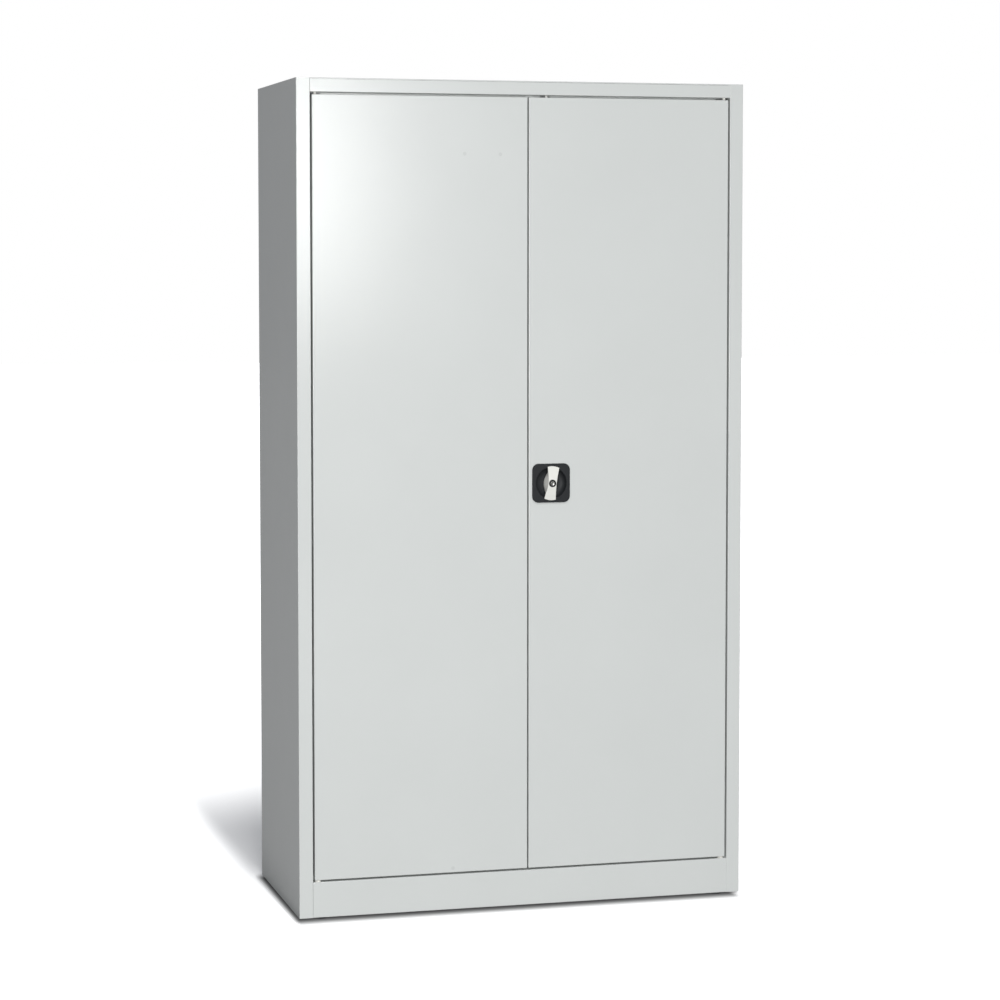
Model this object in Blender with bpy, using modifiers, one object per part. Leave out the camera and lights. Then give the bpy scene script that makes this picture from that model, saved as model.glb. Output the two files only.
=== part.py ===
"""A tall workshop cabinet of folded sheet steel: two hinged doors, a turning handle that drives two lock
rods and a tongue, and four shelves on bearers. X runs to the right, the doors face -Y, and Z is up."""

import math

import bmesh
import bpy
from mathutils import Matrix, Vector

# Overall size in metres, and the small gap that pieces keep where they touch
CABINET_WIDTH = 1.0
CABINET_DEPTH = 0.45
CABINET_HEIGHT = 1.8
SEAT_GAP = 0.0003

# Sheet steel, and the inner radius of its bends
BODY_SHEET = 0.001
DOOR_SHEET = 0.001
SHELF_SHEET = 0.0008
BACK_SHEET = 0.0008
INNER_BEND = 0.001
BEND_STEPS = 2
BEND_ANGLE = math.radians(30)

# Frame round the door opening
STILE_WIDTH = 0.03
STILE_RETURN = 0.02
STILE_LIP = 0.012
REAR_FLANGE = 0.02
TOP_RAIL_HEIGHT = 0.03
RAIL_RETURN = 0.025
STOP_FLANGE = 0.015
TOP_SKIRT = 0.015
PLINTH_HEIGHT = 0.08
PLINTH_RETURN = 0.04
BASE_FOOT = 0.025
FLOOR_FOLD = 0.017
FLOOR_LIP = 0.01

# Plastic glides under the base
GLIDE_HEIGHT = 0.003
GLIDE_RADIUS = 0.011
GLIDE_STEM_RADIUS = 0.0027
GLIDE_STEM_HEIGHT = 0.004
GLIDE_HEAD_RADIUS = 0.0036
GLIDE_FROM_END = 0.02
GLIDE_INSET = 0.0125

# Doors
HINGE_GAP = 0.004
MEETING_GAP = 0.003
MEETING_PLACE = 0.009
TOP_GAP = 0.005
BOTTOM_GAP = 0.004
DOOR_DEPTH = 0.02
DOOR_LIP = 0.025

# Hinge pins in the doors and their bushes in the frame
PIN_FROM_EDGE = 0.008
PIN_RADIUS = 0.003
PIN_COLLAR_RADIUS = 0.006
PIN_COLLAR_HEIGHT = 0.0018
PIN_REACH = 0.008
PIN_TAIL = 0.004
PIN_CHAMFER = 0.0008
BUSH_RADIUS = 0.0045
BUSH_FLANGE_RADIUS = 0.0065
BUSH_FLANGE_HEIGHT = 0.001

# Door stiffeners and the rubber buffers that the doors close against
STIFFENER_WIDTH = 0.056
STIFFENER_FLANGE = 0.022
STIFFENER_DEPTH = 0.014
STIFFENER_SHEET = 0.0008
STIFFENER_END_ROOM = 0.035
LEFT_STIFFENER_FROM_EDGE = 0.0995
BUFFER_RADIUS = 0.005
BUFFER_TIP_RADIUS = 0.0035
BUFFER_SPREAD = 0.03

# Shelf uprights with their slots, the bearers hooked into them and the shelves
UPRIGHT_WIDTH = 0.03
UPRIGHT_DEPTH = 0.0147
UPRIGHT_FROM_FRONT = 0.062
UPRIGHT_FROM_REAR = 0.036
SLOT_PITCH = 0.05
SLOT_END_ROOM = 0.05
SLOT_WIDTH = 0.016
SLOT_HEIGHT = 0.006
BEARER_SHEET = 0.0015
BEARER_LEG = 0.025
BEARER_LEDGE = 0.014
BEARER_RISE = 0.004
HOOK_WIDTH = 0.0145
HOOK_DROP = 0.009
SHELF_COUNT = 4
SHELF_FOLD = 0.025
SHELF_LIP = 0.012
SHELF_SIDE_PLAY = 0.001
SHELF_FRONT_ROOM = 0.006
SHELF_REAR_ROOM = 0.004

# Handle and lock. Depths are measured back from the face of the door
HANDLE_FROM_EDGE = 0.05
HANDLE_RISE = 0.0055
HANDLE_TILT = math.radians(6.5)
PLATE_SIZE = 0.085
PLATE_CORNER = 0.014
PLATE_PROUD = 0.004
PLATE_EDGE = 0.0015
BOWL_RADIUS = 0.0345
BOWL_RIM = 0.0008
BOWL_FLOOR_RADIUS = 0.0205
BOWL_DEPTH = 0.012
BOWL_WALL = 0.0018
BOWL_LIP = 0.001
GRIP_LENGTH = 0.0742
GRIP_END_WIDTH = 0.0262
GRIP_WAIST = 0.0204
GRIP_THICKNESS = 0.007
GRIP_PROUD = 0.0145
GRIP_EDGE = 0.0012
PEDESTAL_WIDTH = 0.0275
PEDESTAL_LENGTH = 0.059
PEDESTAL_FOOT_LENGTH = 0.045
PEDESTAL_FOOT_HEIGHT = 0.0037
NECK_RADIUS = 0.01
BARREL_RADIUS = 0.008
BARREL_LENGTH = 0.0155
BARREL_PROUD = 0.0005
BARREL_EDGE = 0.0008
CORE_RADIUS = 0.006
CORE_SUNK = 0.0008
KEYWAY_WIDTH = 0.0018
KEYWAY_HEIGHT = 0.008
KEYWAY_DEPTH = 0.011
SPINDLE_SIDE = 0.007
SPINDLE_END_ROOM = 0.001
GEAR_MODULE = 0.0015
GEAR_TEETH = 12
GEAR_WIDTH = 0.004
GEAR_BEHIND_BOWL = 0.0022
CASE_SHEET = 0.0012
CASE_WIDTH = 0.048
CASE_HEIGHT = 0.092
CASE_FOOT = 0.011
CASE_ROOM = 0.0018
CASE_SCREW_PLACE = 0.02
CASE_SCREW_RADIUS = 0.0017
CASE_SCREW_HEAD_RADIUS = 0.0036
CASE_SCREW_HEAD_HEIGHT = 0.0014
CASE_SCREW_LENGTH = 0.007
BOSS_RADIUS = 0.004
SPINDLE_BUSH_RADIUS = 0.007
SPINDLE_BUSH_FLANGE_RADIUS = 0.009
SPINDLE_BUSH_FLANGE_HEIGHT = 0.0008
TONGUE_SHEET = 0.002
TONGUE_BEHIND_DOOR = 0.0016
TONGUE_LENGTH = 0.064
TONGUE_WIDTH = 0.016
TONGUE_HUB_RADIUS = 0.011
SPINDLE_SCREW_RADIUS = 0.002
SPINDLE_SCREW_LENGTH = 0.008
SPINDLE_WASHER_RADIUS = 0.0065
SPINDLE_WASHER_HEIGHT = 0.001
SPINDLE_HEAD_RADIUS = 0.0036
SPINDLE_HEAD_HEIGHT = 0.0022

# Strike on the left door that the tongue swings behind
STRIKE_SHEET = 0.0015
STRIKE_FOOT = 0.0095
STRIKE_REACH = 0.0135
STRIKE_TIP_ROOM = 0.0035
STRIKE_ROOM = 0.001
STRIKE_HEIGHT = 0.032

# Lock rods, the toothed racks on them and their guides
ROD_RADIUS = 0.003
ROD_TIP_CHAMFER = 0.0008
UPPER_ROD_SHOWS = 0.0045
LOWER_ROD_SUNK = 0.0005
RACK_BODY = 0.004
RACK_TEETH = 5
RACK_HEAD_WIDTH = 0.012
RACK_HEAD_ROOM = 0.0015
RACK_HEAD_HEIGHT = 0.014
ROD_LAP = 0.012
GUIDE_WIDTH = 0.016
GUIDE_HEIGHT = 0.014
GUIDE_PLACE_SHARE = 0.5

# Roundness of turned pieces and drilled holes, and how far a cutter runs past what it cuts
ROUND_STEPS = 20
SMALL_STEPS = 12
BOWL_STEPS = 40
DISH_STEPS = 6
CORNER_STEPS = 5
OVERRUN = 0.002
WELD = 0.00001
SMOOTH_ANGLE = math.radians(35)

# Which way along X each side lies
SIDES = {"left": -1, "right": 1}

# Places that follow from the sizes
half_width = CABINET_WIDTH / 2
front = -CABINET_DEPTH / 2
rear = CABINET_DEPTH / 2
inner_half = half_width - BODY_SHEET - SEAT_GAP
bend_clear = BODY_SHEET + INNER_BEND + SEAT_GAP
opening_half = half_width - STILE_WIDTH
rail_half = opening_half - SEAT_GAP
opening_top = CABINET_HEIGHT - TOP_RAIL_HEIGHT
back_face = rear - BODY_SHEET - SEAT_GAP
frame_rear = back_face - BACK_SHEET - SEAT_GAP
stop_face = front + RAIL_RETURN
floor_bottom = PLINTH_HEIGHT + SEAT_GAP
floor_top = floor_bottom + FLOOR_FOLD
door_top = opening_top - TOP_GAP
door_bottom = PLINTH_HEIGHT + BOTTOM_GAP
door_back = front + DOOR_DEPTH
door_hinge_edge = opening_half - HINGE_GAP
left_free_edge = MEETING_PLACE - MEETING_GAP / 2
right_free_edge = MEETING_PLACE + MEETING_GAP / 2
pin_x = door_hinge_edge - PIN_FROM_EDGE
pin_y = front + PIN_FROM_EDGE
web_face = inner_half - UPRIGHT_DEPTH
handle_x = right_free_edge + HANDLE_FROM_EDGE
handle_z = (door_top + door_bottom) / 2 + HANDLE_RISE
bowl_floor = BOWL_DEPTH - PLATE_PROUD
bowl_back = bowl_floor + BOWL_WALL
gear_front = bowl_back + GEAR_BEHIND_BOWL
gear_back = gear_front + GEAR_WIDTH
gear_middle = (gear_front + gear_back) / 2
case_inside = gear_back + CASE_ROOM
case_back = case_inside + CASE_SHEET
tongue_front = DOOR_DEPTH + TONGUE_BEHIND_DOOR
tongue_back = tongue_front + TONGUE_SHEET
spindle_start = BARREL_LENGTH - BARREL_PROUD - GRIP_PROUD + SPINDLE_END_ROOM
spindle_end = tongue_back + SEAT_GAP
pitch_radius = GEAR_MODULE * GEAR_TEETH / 2
tooth_pitch = math.pi * GEAR_MODULE
rod_y = front + gear_middle


def make_collection(name):
    made = bpy.data.collections.new(name)
    bpy.context.scene.collection.children.link(made)
    return made


for leftover in list(bpy.data.objects):
    bpy.data.objects.remove(leftover)
pieces = make_collection("workshop_cabinet")
helpers = make_collection("cutters")


def finish_material(name, colour, roughness, metallic=0):
    made = bpy.data.materials.new(name)
    made.use_nodes = True
    shader = made.node_tree.nodes["Principled BSDF"]
    shader.inputs["Base Color"].default_value = (*colour, 1)
    shader.inputs["Roughness"].default_value = roughness
    shader.inputs["Metallic"].default_value = metallic
    return made


def light_grey_paint(name):
    return finish_material(name, (0.65, 0.68, 0.665), 0.38)


def zinc_plate(name):
    return finish_material(name, (0.78, 0.79, 0.8), 0.3, 1)


def black_lacquer(name):
    return finish_material(name, (0.02, 0.02, 0.022), 0.3)


def charcoal_plastic(name):
    return finish_material(name, (0.035, 0.037, 0.04), 0.45)


def white_plastic(name):
    return finish_material(name, (0.8, 0.8, 0.76), 0.4)


def black_rubber(name):
    return finish_material(name, (0.02, 0.02, 0.02), 0.8)


def turn_outward(bm, outward):
    """Turns an open surface so that its largest face looks along outward."""
    bmesh.ops.recalc_face_normals(bm, faces=bm.faces)
    largest = max(bm.faces, key=lambda face: face.calc_area())
    if largest.normal.dot(outward) < 0:
        bmesh.ops.reverse_faces(bm, faces=bm.faces)


def object_from(name, bm, group, material=None):
    mesh = bpy.data.meshes.new(name)
    bm.to_mesh(mesh)
    bm.free()
    made = bpy.data.objects.new(name, mesh)
    group.objects.link(made)
    if material:
        mesh.materials.append(material(name + "_finish"))
    if group is helpers:
        made.hide_render = True
        made.display_type = "WIRE"
    return made


def add_box(bm, low, high):
    size = Vector(high) - Vector(low)
    middle = (Vector(high) + Vector(low)) / 2
    return bmesh.ops.create_cube(bm, size=1, matrix=Matrix.Translation(middle) @ Matrix.Diagonal((*size, 1)))


def box(name, low, high, material, group=None):
    bm = bmesh.new()
    add_box(bm, low, high)
    return object_from(name, bm, group or pieces, material)


def thicken(piece, sheet):
    """Rounds the folds of an open surface and gives it the sheet's thickness behind its outer face."""
    bend = piece.modifiers.new("folds", "BEVEL")
    bend.width = INNER_BEND + sheet
    bend.segments = BEND_STEPS
    bend.limit_method = "ANGLE"
    bend.angle_limit = BEND_ANGLE
    skin = piece.modifiers.new("sheet", "SOLIDIFY")
    skin.thickness = sheet
    skin.offset = -1
    skin.use_even_offset = True


def folded(name, outline, run, sheet, outward, material):
    """A strip of sheet: an open outline of its outer face, swept along run."""
    bm = bmesh.new()
    points = [bm.verts.new(point) for point in outline]
    edges = [bm.edges.new(pair) for pair in zip(points, points[1:])]
    sweep(bm, edges, run)
    turn_outward(bm, Vector(outward))
    piece = object_from(name, bm, pieces, material)
    thicken(piece, sheet)
    return piece


def sweep(bm, edges, run):
    """Draws edges out along run, and returns the edges at the far end."""
    new = bmesh.ops.extrude_edge_only(bm, edges=edges)["geom"]
    corners = [item for item in new if isinstance(item, bmesh.types.BMVert)]
    bmesh.ops.translate(bm, verts=corners, vec=run)
    return [item for item in new if isinstance(item, bmesh.types.BMEdge) and set(item.verts) <= set(corners)]


def pan(name, low, high, open_way, lip, sheet, material):
    """A folded pan: a box of sheet, open along open_way, with a lip folded in round its opening."""
    bm = bmesh.new()
    add_box(bm, low, high)
    bm.normal_update()
    opening = max(bm.faces, key=lambda face: face.normal.dot(Vector(open_way)))
    bmesh.ops.inset_region(bm, faces=[opening], thickness=lip, use_even_offset=True)
    bmesh.ops.delete(bm, geom=[opening], context="FACES")
    turn_outward(bm, -Vector(open_way))
    piece = object_from(name, bm, pieces, material)
    thicken(piece, sheet)
    return piece


def settle(piece):
    """Replaces a piece's mesh with its evaluated one, shaded smooth across gentle angles."""
    bpy.context.view_layer.update()
    graph = bpy.context.evaluated_depsgraph_get()
    mesh = bpy.data.meshes.new_from_object(piece.evaluated_get(graph))
    mesh.name = piece.name
    bm = bmesh.new()
    bm.from_mesh(mesh)
    bmesh.ops.remove_doubles(bm, verts=bm.verts, dist=WELD)
    bmesh.ops.recalc_face_normals(bm, faces=bm.faces)
    bm.to_mesh(mesh)
    bm.free()
    mesh.shade_smooth()
    mesh.set_sharp_from_angle(angle=SMOOTH_ANGLE)
    if piece.type == "MESH":
        piece.modifiers.clear()
        piece.data = mesh
        return piece
    solid = bpy.data.objects.new(piece.name + "_solid", mesh)
    solid.matrix_world = piece.matrix_world
    name = piece.name
    bpy.data.objects.remove(piece)
    solid.name = name
    return solid


def turned(name, profile, where, way, material, steps=ROUND_STEPS, ring=False, group=None):
    """A turned piece: (radius, height) points down its outer side, stood at where with height along way."""
    bm = bmesh.new()
    points = [bm.verts.new((radius, 0, height)) for radius, height in profile]
    for pair in zip(points, points[1:]):
        bm.edges.new(pair)
    if ring:
        bm.edges.new((points[-1], points[0]))
    piece = object_from(name, bm, group or pieces, material)
    piece.location = where
    piece.rotation_euler = Vector(way).to_track_quat("Z", "Y").to_euler()
    turn = piece.modifiers.new("turn", "SCREW")
    turn.steps = steps
    turn.render_steps = steps
    turn.use_merge_vertices = True
    turn.merge_threshold = WELD
    return settle(piece)


def outline_plate(name, outlines, thickness, middle, material, group=None):
    """A flat plate seen from the front: outlines in (x, z) from its middle, the later ones being holes."""
    curve = bpy.data.curves.new(name, "CURVE")
    curve.dimensions = "2D"
    curve.fill_mode = "BOTH"
    curve.extrude = thickness / 2
    for outline in outlines:
        spline = curve.splines.new("POLY")
        spline.points.add(len(outline) - 1)
        for spot, (x, z) in zip(spline.points, outline):
            spot.co = (x, z, 0, 1)
        spline.use_cyclic_u = True
    drawn = bpy.data.objects.new(name, curve)
    drawn.matrix_world = Matrix.Translation(middle) @ Matrix.Rotation(math.pi / 2, 4, "X")
    pieces.objects.link(drawn)
    plate = settle(drawn)
    (group or pieces).objects.link(plate)
    if group is helpers:
        plate.hide_render = True
        plate.display_type = "WIRE"
    else:
        plate.data.materials.append(material(name + "_finish"))
    return plate


def holes(name, spots, way, steps=SMALL_STEPS):
    """One cutter for round holes: each spot gives the hole's middle, its radius and half its length."""
    bm = bmesh.new()
    turn = Vector(way).to_track_quat("Z", "Y").to_matrix().to_4x4()
    for middle, radius, reach in spots:
        place = Matrix.Translation(middle) @ turn
        bmesh.ops.create_cone(
            bm, cap_ends=True, segments=steps, radius1=radius, radius2=radius, depth=2 * reach, matrix=place
        )
    return object_from(name, bm, helpers)


def boxes(name, spans):
    """One cutter for square holes, each given by its two corners."""
    bm = bmesh.new()
    for low, high in spans:
        add_box(bm, low, high)
    return object_from(name, bm, helpers)


def cut(piece, cutter):
    made = piece.modifiers.new(cutter.name, "BOOLEAN")
    made.operation = "DIFFERENCE"
    made.object = cutter


def join(piece, other):
    made = piece.modifiers.new(other.name, "BOOLEAN")
    made.operation = "UNION"
    made.object = other


def soften(piece, width, steps=BEND_STEPS):
    """Small round along the sharp edges of a solid."""
    edge = piece.modifiers.new("edges", "BEVEL")
    edge.width = width
    edge.segments = steps
    edge.limit_method = "ANGLE"
    edge.angle_limit = BEND_ANGLE


def arc(middle, radius, start, end, steps):
    """Points on an arc round middle, both ends included."""
    angles = [start + (end - start) * step / steps for step in range(steps + 1)]
    return [(middle[0] + radius * math.cos(angle), middle[1] + radius * math.sin(angle)) for angle in angles]


def rounded_square(size, corner):
    reach = size / 2 - corner
    points = []
    for quarter, (x, z) in enumerate(((1, 1), (-1, 1), (-1, -1), (1, -1))):
        start = quarter * math.pi / 2
        points += arc((x * reach, z * reach), corner, start, start + math.pi / 2, CORNER_STEPS)
    return points


def rectangle(width, height):
    x = width / 2
    z = height / 2
    return [(x, z), (-x, z), (-x, -z), (x, -z)]


# Body: side panels, top, floor, back and base
def build_side_panel(name, side):
    """Side sheet, folded round into the stile beside the doors. The top sheet passes over its inner folds."""
    outline = [
        (side * (half_width - REAR_FLANGE), rear, GLIDE_HEIGHT),
        (side * half_width, rear, GLIDE_HEIGHT),
        (side * half_width, front, GLIDE_HEIGHT),
        (side * opening_half, front, GLIDE_HEIGHT),
        (side * opening_half, front + STILE_RETURN, GLIDE_HEIGHT),
        (side * (opening_half + STILE_LIP), front + STILE_RETURN, GLIDE_HEIGHT),
    ]
    run = (0, 0, CABINET_HEIGHT - GLIDE_HEIGHT)
    panel = folded(name, outline, run, BODY_SHEET, (side, 0, 0), light_grey_paint)
    near = side * (opening_half - OVERRUN)
    far = side * (opening_half + STILE_LIP + OVERRUN)
    low = (min(near, far), front + BODY_SHEET + INNER_BEND, CABINET_HEIGHT - BODY_SHEET - SEAT_GAP)
    high = (max(near, far), front + STILE_RETURN + OVERRUN, CABINET_HEIGHT + OVERRUN)
    cut(panel, boxes("cut_" + name, [(low, high)]))


def build_top_panel():
    """Top sheet with skirts at its sides and rear. Its front is folded into the rail above the doors."""
    bm = bmesh.new()
    shoulder = front + bend_clear
    corners = [
        (-inner_half, shoulder),
        (-rail_half, shoulder),
        (rail_half, shoulder),
        (inner_half, shoulder),
        (inner_half, frame_rear),
        (-inner_half, frame_rear),
    ]
    points = [bm.verts.new((x, y, CABINET_HEIGHT)) for x, y in corners]
    bm.faces.new(points)
    bm.edges.ensure_lookup_table()
    edge_between = {frozenset(points.index(point) for point in edge.verts): edge for edge in bm.edges}
    skirt = [edge_between[frozenset(pair)] for pair in ((3, 4), (4, 5), (5, 0))]
    rail = [edge_between[frozenset((1, 2))]]
    sweep(bm, skirt, (0, 0, -TOP_SKIRT))
    rail = sweep(bm, rail, (0, -bend_clear, 0))
    rail = sweep(bm, rail, (0, 0, -TOP_RAIL_HEIGHT))
    rail = sweep(bm, rail, (0, RAIL_RETURN, 0))
    sweep(bm, rail, (0, 0, -STOP_FLANGE))
    turn_outward(bm, Vector((0, 0, 1)))
    panel = object_from("top_panel", bm, pieces, light_grey_paint)
    thicken(panel, BODY_SHEET)
    spots = [((side * pin_x, pin_y, opening_top), BUSH_RADIUS + SEAT_GAP, OVERRUN) for side in (-1, 1)]
    spots.append(((rod_x(1), rod_y, opening_top), ROD_RADIUS + OVERRUN, OVERRUN))
    cut(panel, holes("cut_top_panel", spots, (0, 0, 1), ROUND_STEPS))


def build_floor_panel():
    low = (-inner_half, stop_face, floor_bottom)
    high = (inner_half, frame_rear, floor_top)
    pan("floor_panel", low, high, (0, 0, -1), FLOOR_LIP, BODY_SHEET, light_grey_paint)


def build_back_panel():
    half = half_width - bend_clear
    low = (-half, back_face - BACK_SHEET, GLIDE_HEIGHT)
    high = (half, back_face, CABINET_HEIGHT)
    box("back_panel", low, high, light_grey_paint)


def build_front_plinth():
    outline = [
        (-rail_half, front + BASE_FOOT, GLIDE_HEIGHT),
        (-rail_half, front, GLIDE_HEIGHT),
        (-rail_half, front, PLINTH_HEIGHT),
        (-rail_half, front + PLINTH_RETURN, PLINTH_HEIGHT),
    ]
    run = (2 * rail_half, 0, 0)
    plinth = folded("front_plinth", outline, run, BODY_SHEET, (0, -1, 0), light_grey_paint)
    spots = [((side * pin_x, pin_y, PLINTH_HEIGHT), BUSH_RADIUS + SEAT_GAP, OVERRUN) for side in (-1, 1)]
    spots.append(((rod_x(-1), rod_y, PLINTH_HEIGHT), ROD_RADIUS + OVERRUN, OVERRUN))
    spots += glide_holes(front + GLIDE_INSET)
    cut(plinth, holes("cut_front_plinth", spots, (0, 0, 1), ROUND_STEPS))


def build_rear_base_rail():
    outline = [
        (-inner_half, frame_rear - BASE_FOOT, GLIDE_HEIGHT),
        (-inner_half, frame_rear, GLIDE_HEIGHT),
        (-inner_half, frame_rear, PLINTH_HEIGHT),
        (-inner_half, frame_rear - BASE_FOOT, PLINTH_HEIGHT),
    ]
    run = (2 * inner_half, 0, 0)
    rail = folded("rear_base_rail", outline, run, BODY_SHEET, (0, 1, 0), light_grey_paint)
    spots = glide_holes(frame_rear - GLIDE_INSET)
    cut(rail, holes("cut_rear_base_rail", spots, (0, 0, 1), ROUND_STEPS))


def glide_x(side):
    return side * (rail_half - GLIDE_FROM_END)


def glide_holes(y):
    return [((glide_x(side), y, GLIDE_HEIGHT), GLIDE_STEM_RADIUS + SEAT_GAP, OVERRUN) for side in (-1, 1)]


def build_glide(name, side, y):
    """Push-in plastic glide: a foot under the sheet, and a stem through it with a wider head."""
    sheet_top = GLIDE_HEIGHT + BODY_SHEET + SEAT_GAP
    head = sheet_top + GLIDE_STEM_HEIGHT / 2
    profile = [
        (0, sheet_top + GLIDE_STEM_HEIGHT),
        (GLIDE_STEM_RADIUS, sheet_top + GLIDE_STEM_HEIGHT),
        (GLIDE_HEAD_RADIUS, head),
        (GLIDE_HEAD_RADIUS, sheet_top),
        (GLIDE_STEM_RADIUS, sheet_top),
        (GLIDE_STEM_RADIUS, GLIDE_HEIGHT - SEAT_GAP),
        (GLIDE_RADIUS, GLIDE_HEIGHT - SEAT_GAP),
        (GLIDE_RADIUS, 0),
        (0, 0),
    ]
    return turned(name, profile, (glide_x(side), y, 0), (0, 0, 1), charcoal_plastic)


# Shelf uprights, bearers and shelves
def upright_places():
    return {"front": front + UPRIGHT_FROM_FRONT, "rear": frame_rear - UPRIGHT_FROM_REAR}


def upright_span():
    return floor_top + SEAT_GAP, CABINET_HEIGHT - TOP_SKIRT - SEAT_GAP


def slot_heights():
    bottom, top = upright_span()
    count = int((top - bottom - 2 * SLOT_END_ROOM) / SLOT_PITCH) + 1
    return [bottom + SLOT_END_ROOM + SLOT_PITCH * step for step in range(count)]


def build_upright(name, side, middle):
    bottom, top = upright_span()
    low = middle - UPRIGHT_WIDTH / 2
    high = middle + UPRIGHT_WIDTH / 2
    outline = [
        (side * inner_half, low, bottom),
        (side * web_face, low, bottom),
        (side * web_face, high, bottom),
        (side * inner_half, high, bottom),
    ]
    run = (0, 0, top - bottom)
    upright = folded(name, outline, run, BODY_SHEET, (-side, 0, 0), zinc_plate)
    spans = []
    for height in slot_heights():
        inner = side * web_face - OVERRUN
        outer = side * web_face + OVERRUN
        below = (inner, middle - SLOT_WIDTH / 2, height - SLOT_HEIGHT / 2)
        above = (outer, middle + SLOT_WIDTH / 2, height + SLOT_HEIGHT / 2)
        spans.append((below, above))
    cut(upright, boxes("cut_" + name, spans))


def shelf_slots():
    """The slots that the shelves hang in, spread as evenly as their pitch lets them."""
    heights = slot_heights()
    gaps = (len(heights) + 1) / (SHELF_COUNT + 1)
    return [heights[round(gaps * (step + 1))] for step in range(SHELF_COUNT)]


def hook_bottom(slot):
    """The hook of a bearer hangs on the lower edge of its slot."""
    return slot - SLOT_HEIGHT / 2 + SEAT_GAP


def ledge_top(slot):
    return hook_bottom(slot) + BEARER_SHEET + BEARER_RISE


def prism(bm, outline, run):
    """A solid of the outline's shape, drawn along run."""
    face = bm.faces.new([bm.verts.new(point) for point in outline])
    new = bmesh.ops.extrude_face_region(bm, geom=[face])["geom"]
    corners = [item for item in new if isinstance(item, bmesh.types.BMVert)]
    bmesh.ops.translate(bm, verts=corners, vec=run)


def build_shelf_bearer(name, side, slot):
    """Angle that carries one side of a shelf: ledge, leg against the webs, and a hook in each slot."""
    top = ledge_top(slot)
    start = upright_places()["front"] - UPRIGHT_WIDTH / 2
    end = upright_places()["rear"] + UPRIGHT_WIDTH / 2
    leg = side * (web_face - SEAT_GAP)
    outline = [(leg, start, top - BEARER_LEG), (leg, start, top), (leg - side * BEARER_LEDGE, start, top)]
    bearer = folded(name, outline, (0, end - start, 0), BEARER_SHEET, (side, 0, 0), zinc_plate)
    tab = hook_bottom(slot)
    inside = side * (web_face - SEAT_GAP - BEARER_SHEET / 2)
    behind = side * (web_face + BODY_SHEET + SEAT_GAP)
    outer = behind + side * BEARER_SHEET
    bm = bmesh.new()
    for middle in upright_places().values():
        low = middle - HOOK_WIDTH / 2
        hook = [(inside, tab + BEARER_SHEET), (outer, tab + BEARER_SHEET), (outer, tab - HOOK_DROP)]
        hook += [(behind, tab - HOOK_DROP), (behind, tab), (inside, tab)]
        prism(bm, [(x, low, z) for x, z in hook], (0, HOOK_WIDTH, 0))
    bmesh.ops.recalc_face_normals(bm, faces=bm.faces)
    join(bearer, object_from("hooks_" + name, bm, helpers))
    return bearer


def build_shelf(name, slot):
    half = web_face - SHELF_SIDE_PLAY
    bottom = ledge_top(slot) + SEAT_GAP
    low = (-half, stop_face + BODY_SHEET + SHELF_FRONT_ROOM, bottom)
    high = (half, frame_rear - SHELF_REAR_ROOM, bottom + SHELF_FOLD)
    pan(name, low, high, (0, 0, -1), SHELF_LIP, SHELF_SHEET, light_grey_paint)


# Doors, their hinges, stiffeners and buffers
def door_span(side):
    """The door's two ends in X: its hinge edge first."""
    if side < 0:
        return -door_hinge_edge, left_free_edge
    return door_hinge_edge, right_free_edge


def build_door_shell(name, side, cutters):
    ends = door_span(side)
    low = (min(ends), front, door_bottom)
    high = (max(ends), door_back, door_top)
    shell = pan(name, low, high, (0, 1, 0), DOOR_LIP, DOOR_SHEET, light_grey_paint)
    reach = DOOR_SHEET + OVERRUN
    pin_holes = [((side * pin_x, pin_y, z), PIN_RADIUS + SEAT_GAP, reach) for z in (door_bottom, door_top)]
    cut(shell, holes("cut_" + name + "_pins", pin_holes, (0, 0, 1), ROUND_STEPS))
    for cutter in cutters:
        cut(shell, cutter)
    return shell


def right_door_cutters():
    """The lock bowl's hole through the face, and the rods' holes through the top and bottom folds."""
    reach = DOOR_SHEET + OVERRUN
    bowl = [((handle_x, front, handle_z), BOWL_RADIUS + BOWL_LIP + SEAT_GAP, reach)]
    ways = [((rod_x(1), rod_y, door_top), ROD_RADIUS + SEAT_GAP, reach)]
    ways.append(((rod_x(-1), rod_y, door_bottom), ROD_RADIUS + SEAT_GAP, reach))
    return [
        holes("cut_right_door_bowl", bowl, (0, 1, 0), BOWL_STEPS),
        holes("cut_right_door_rods", ways, (0, 0, 1), ROUND_STEPS),
    ]


def build_upper_hinge_pin(name, side):
    """Pin with its collar under the door's top fold, and its point up in the rail."""
    top = opening_top + BODY_SHEET + PIN_REACH
    seat = door_top - DOOR_SHEET - SEAT_GAP
    profile = [
        (0, top),
        (PIN_RADIUS - PIN_CHAMFER, top),
        (PIN_RADIUS, top - PIN_CHAMFER),
        (PIN_RADIUS, seat),
        (PIN_COLLAR_RADIUS, seat),
        (PIN_COLLAR_RADIUS, seat - PIN_COLLAR_HEIGHT),
        (0, seat - PIN_COLLAR_HEIGHT),
    ]
    return turned(name, profile, (side * pin_x, pin_y, 0), (0, 0, 1), zinc_plate)


def build_lower_hinge_pin(name, side):
    """Pin whose collar carries the door in the gap above the plinth."""
    top = door_bottom + DOOR_SHEET + PIN_TAIL
    collar_top = door_bottom - SEAT_GAP
    collar_bottom = PLINTH_HEIGHT + BUSH_FLANGE_HEIGHT + 2 * SEAT_GAP
    bottom = PLINTH_HEIGHT - BODY_SHEET - PIN_REACH
    profile = [
        (0, top),
        (PIN_RADIUS, top),
        (PIN_RADIUS, collar_top),
        (PIN_COLLAR_RADIUS, collar_top),
        (PIN_COLLAR_RADIUS, collar_bottom),
        (PIN_RADIUS, collar_bottom),
        (PIN_RADIUS, bottom + PIN_CHAMFER),
        (PIN_RADIUS - PIN_CHAMFER, bottom),
        (0, bottom),
    ]
    return turned(name, profile, (side * pin_x, pin_y, 0), (0, 0, 1), zinc_plate)


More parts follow.
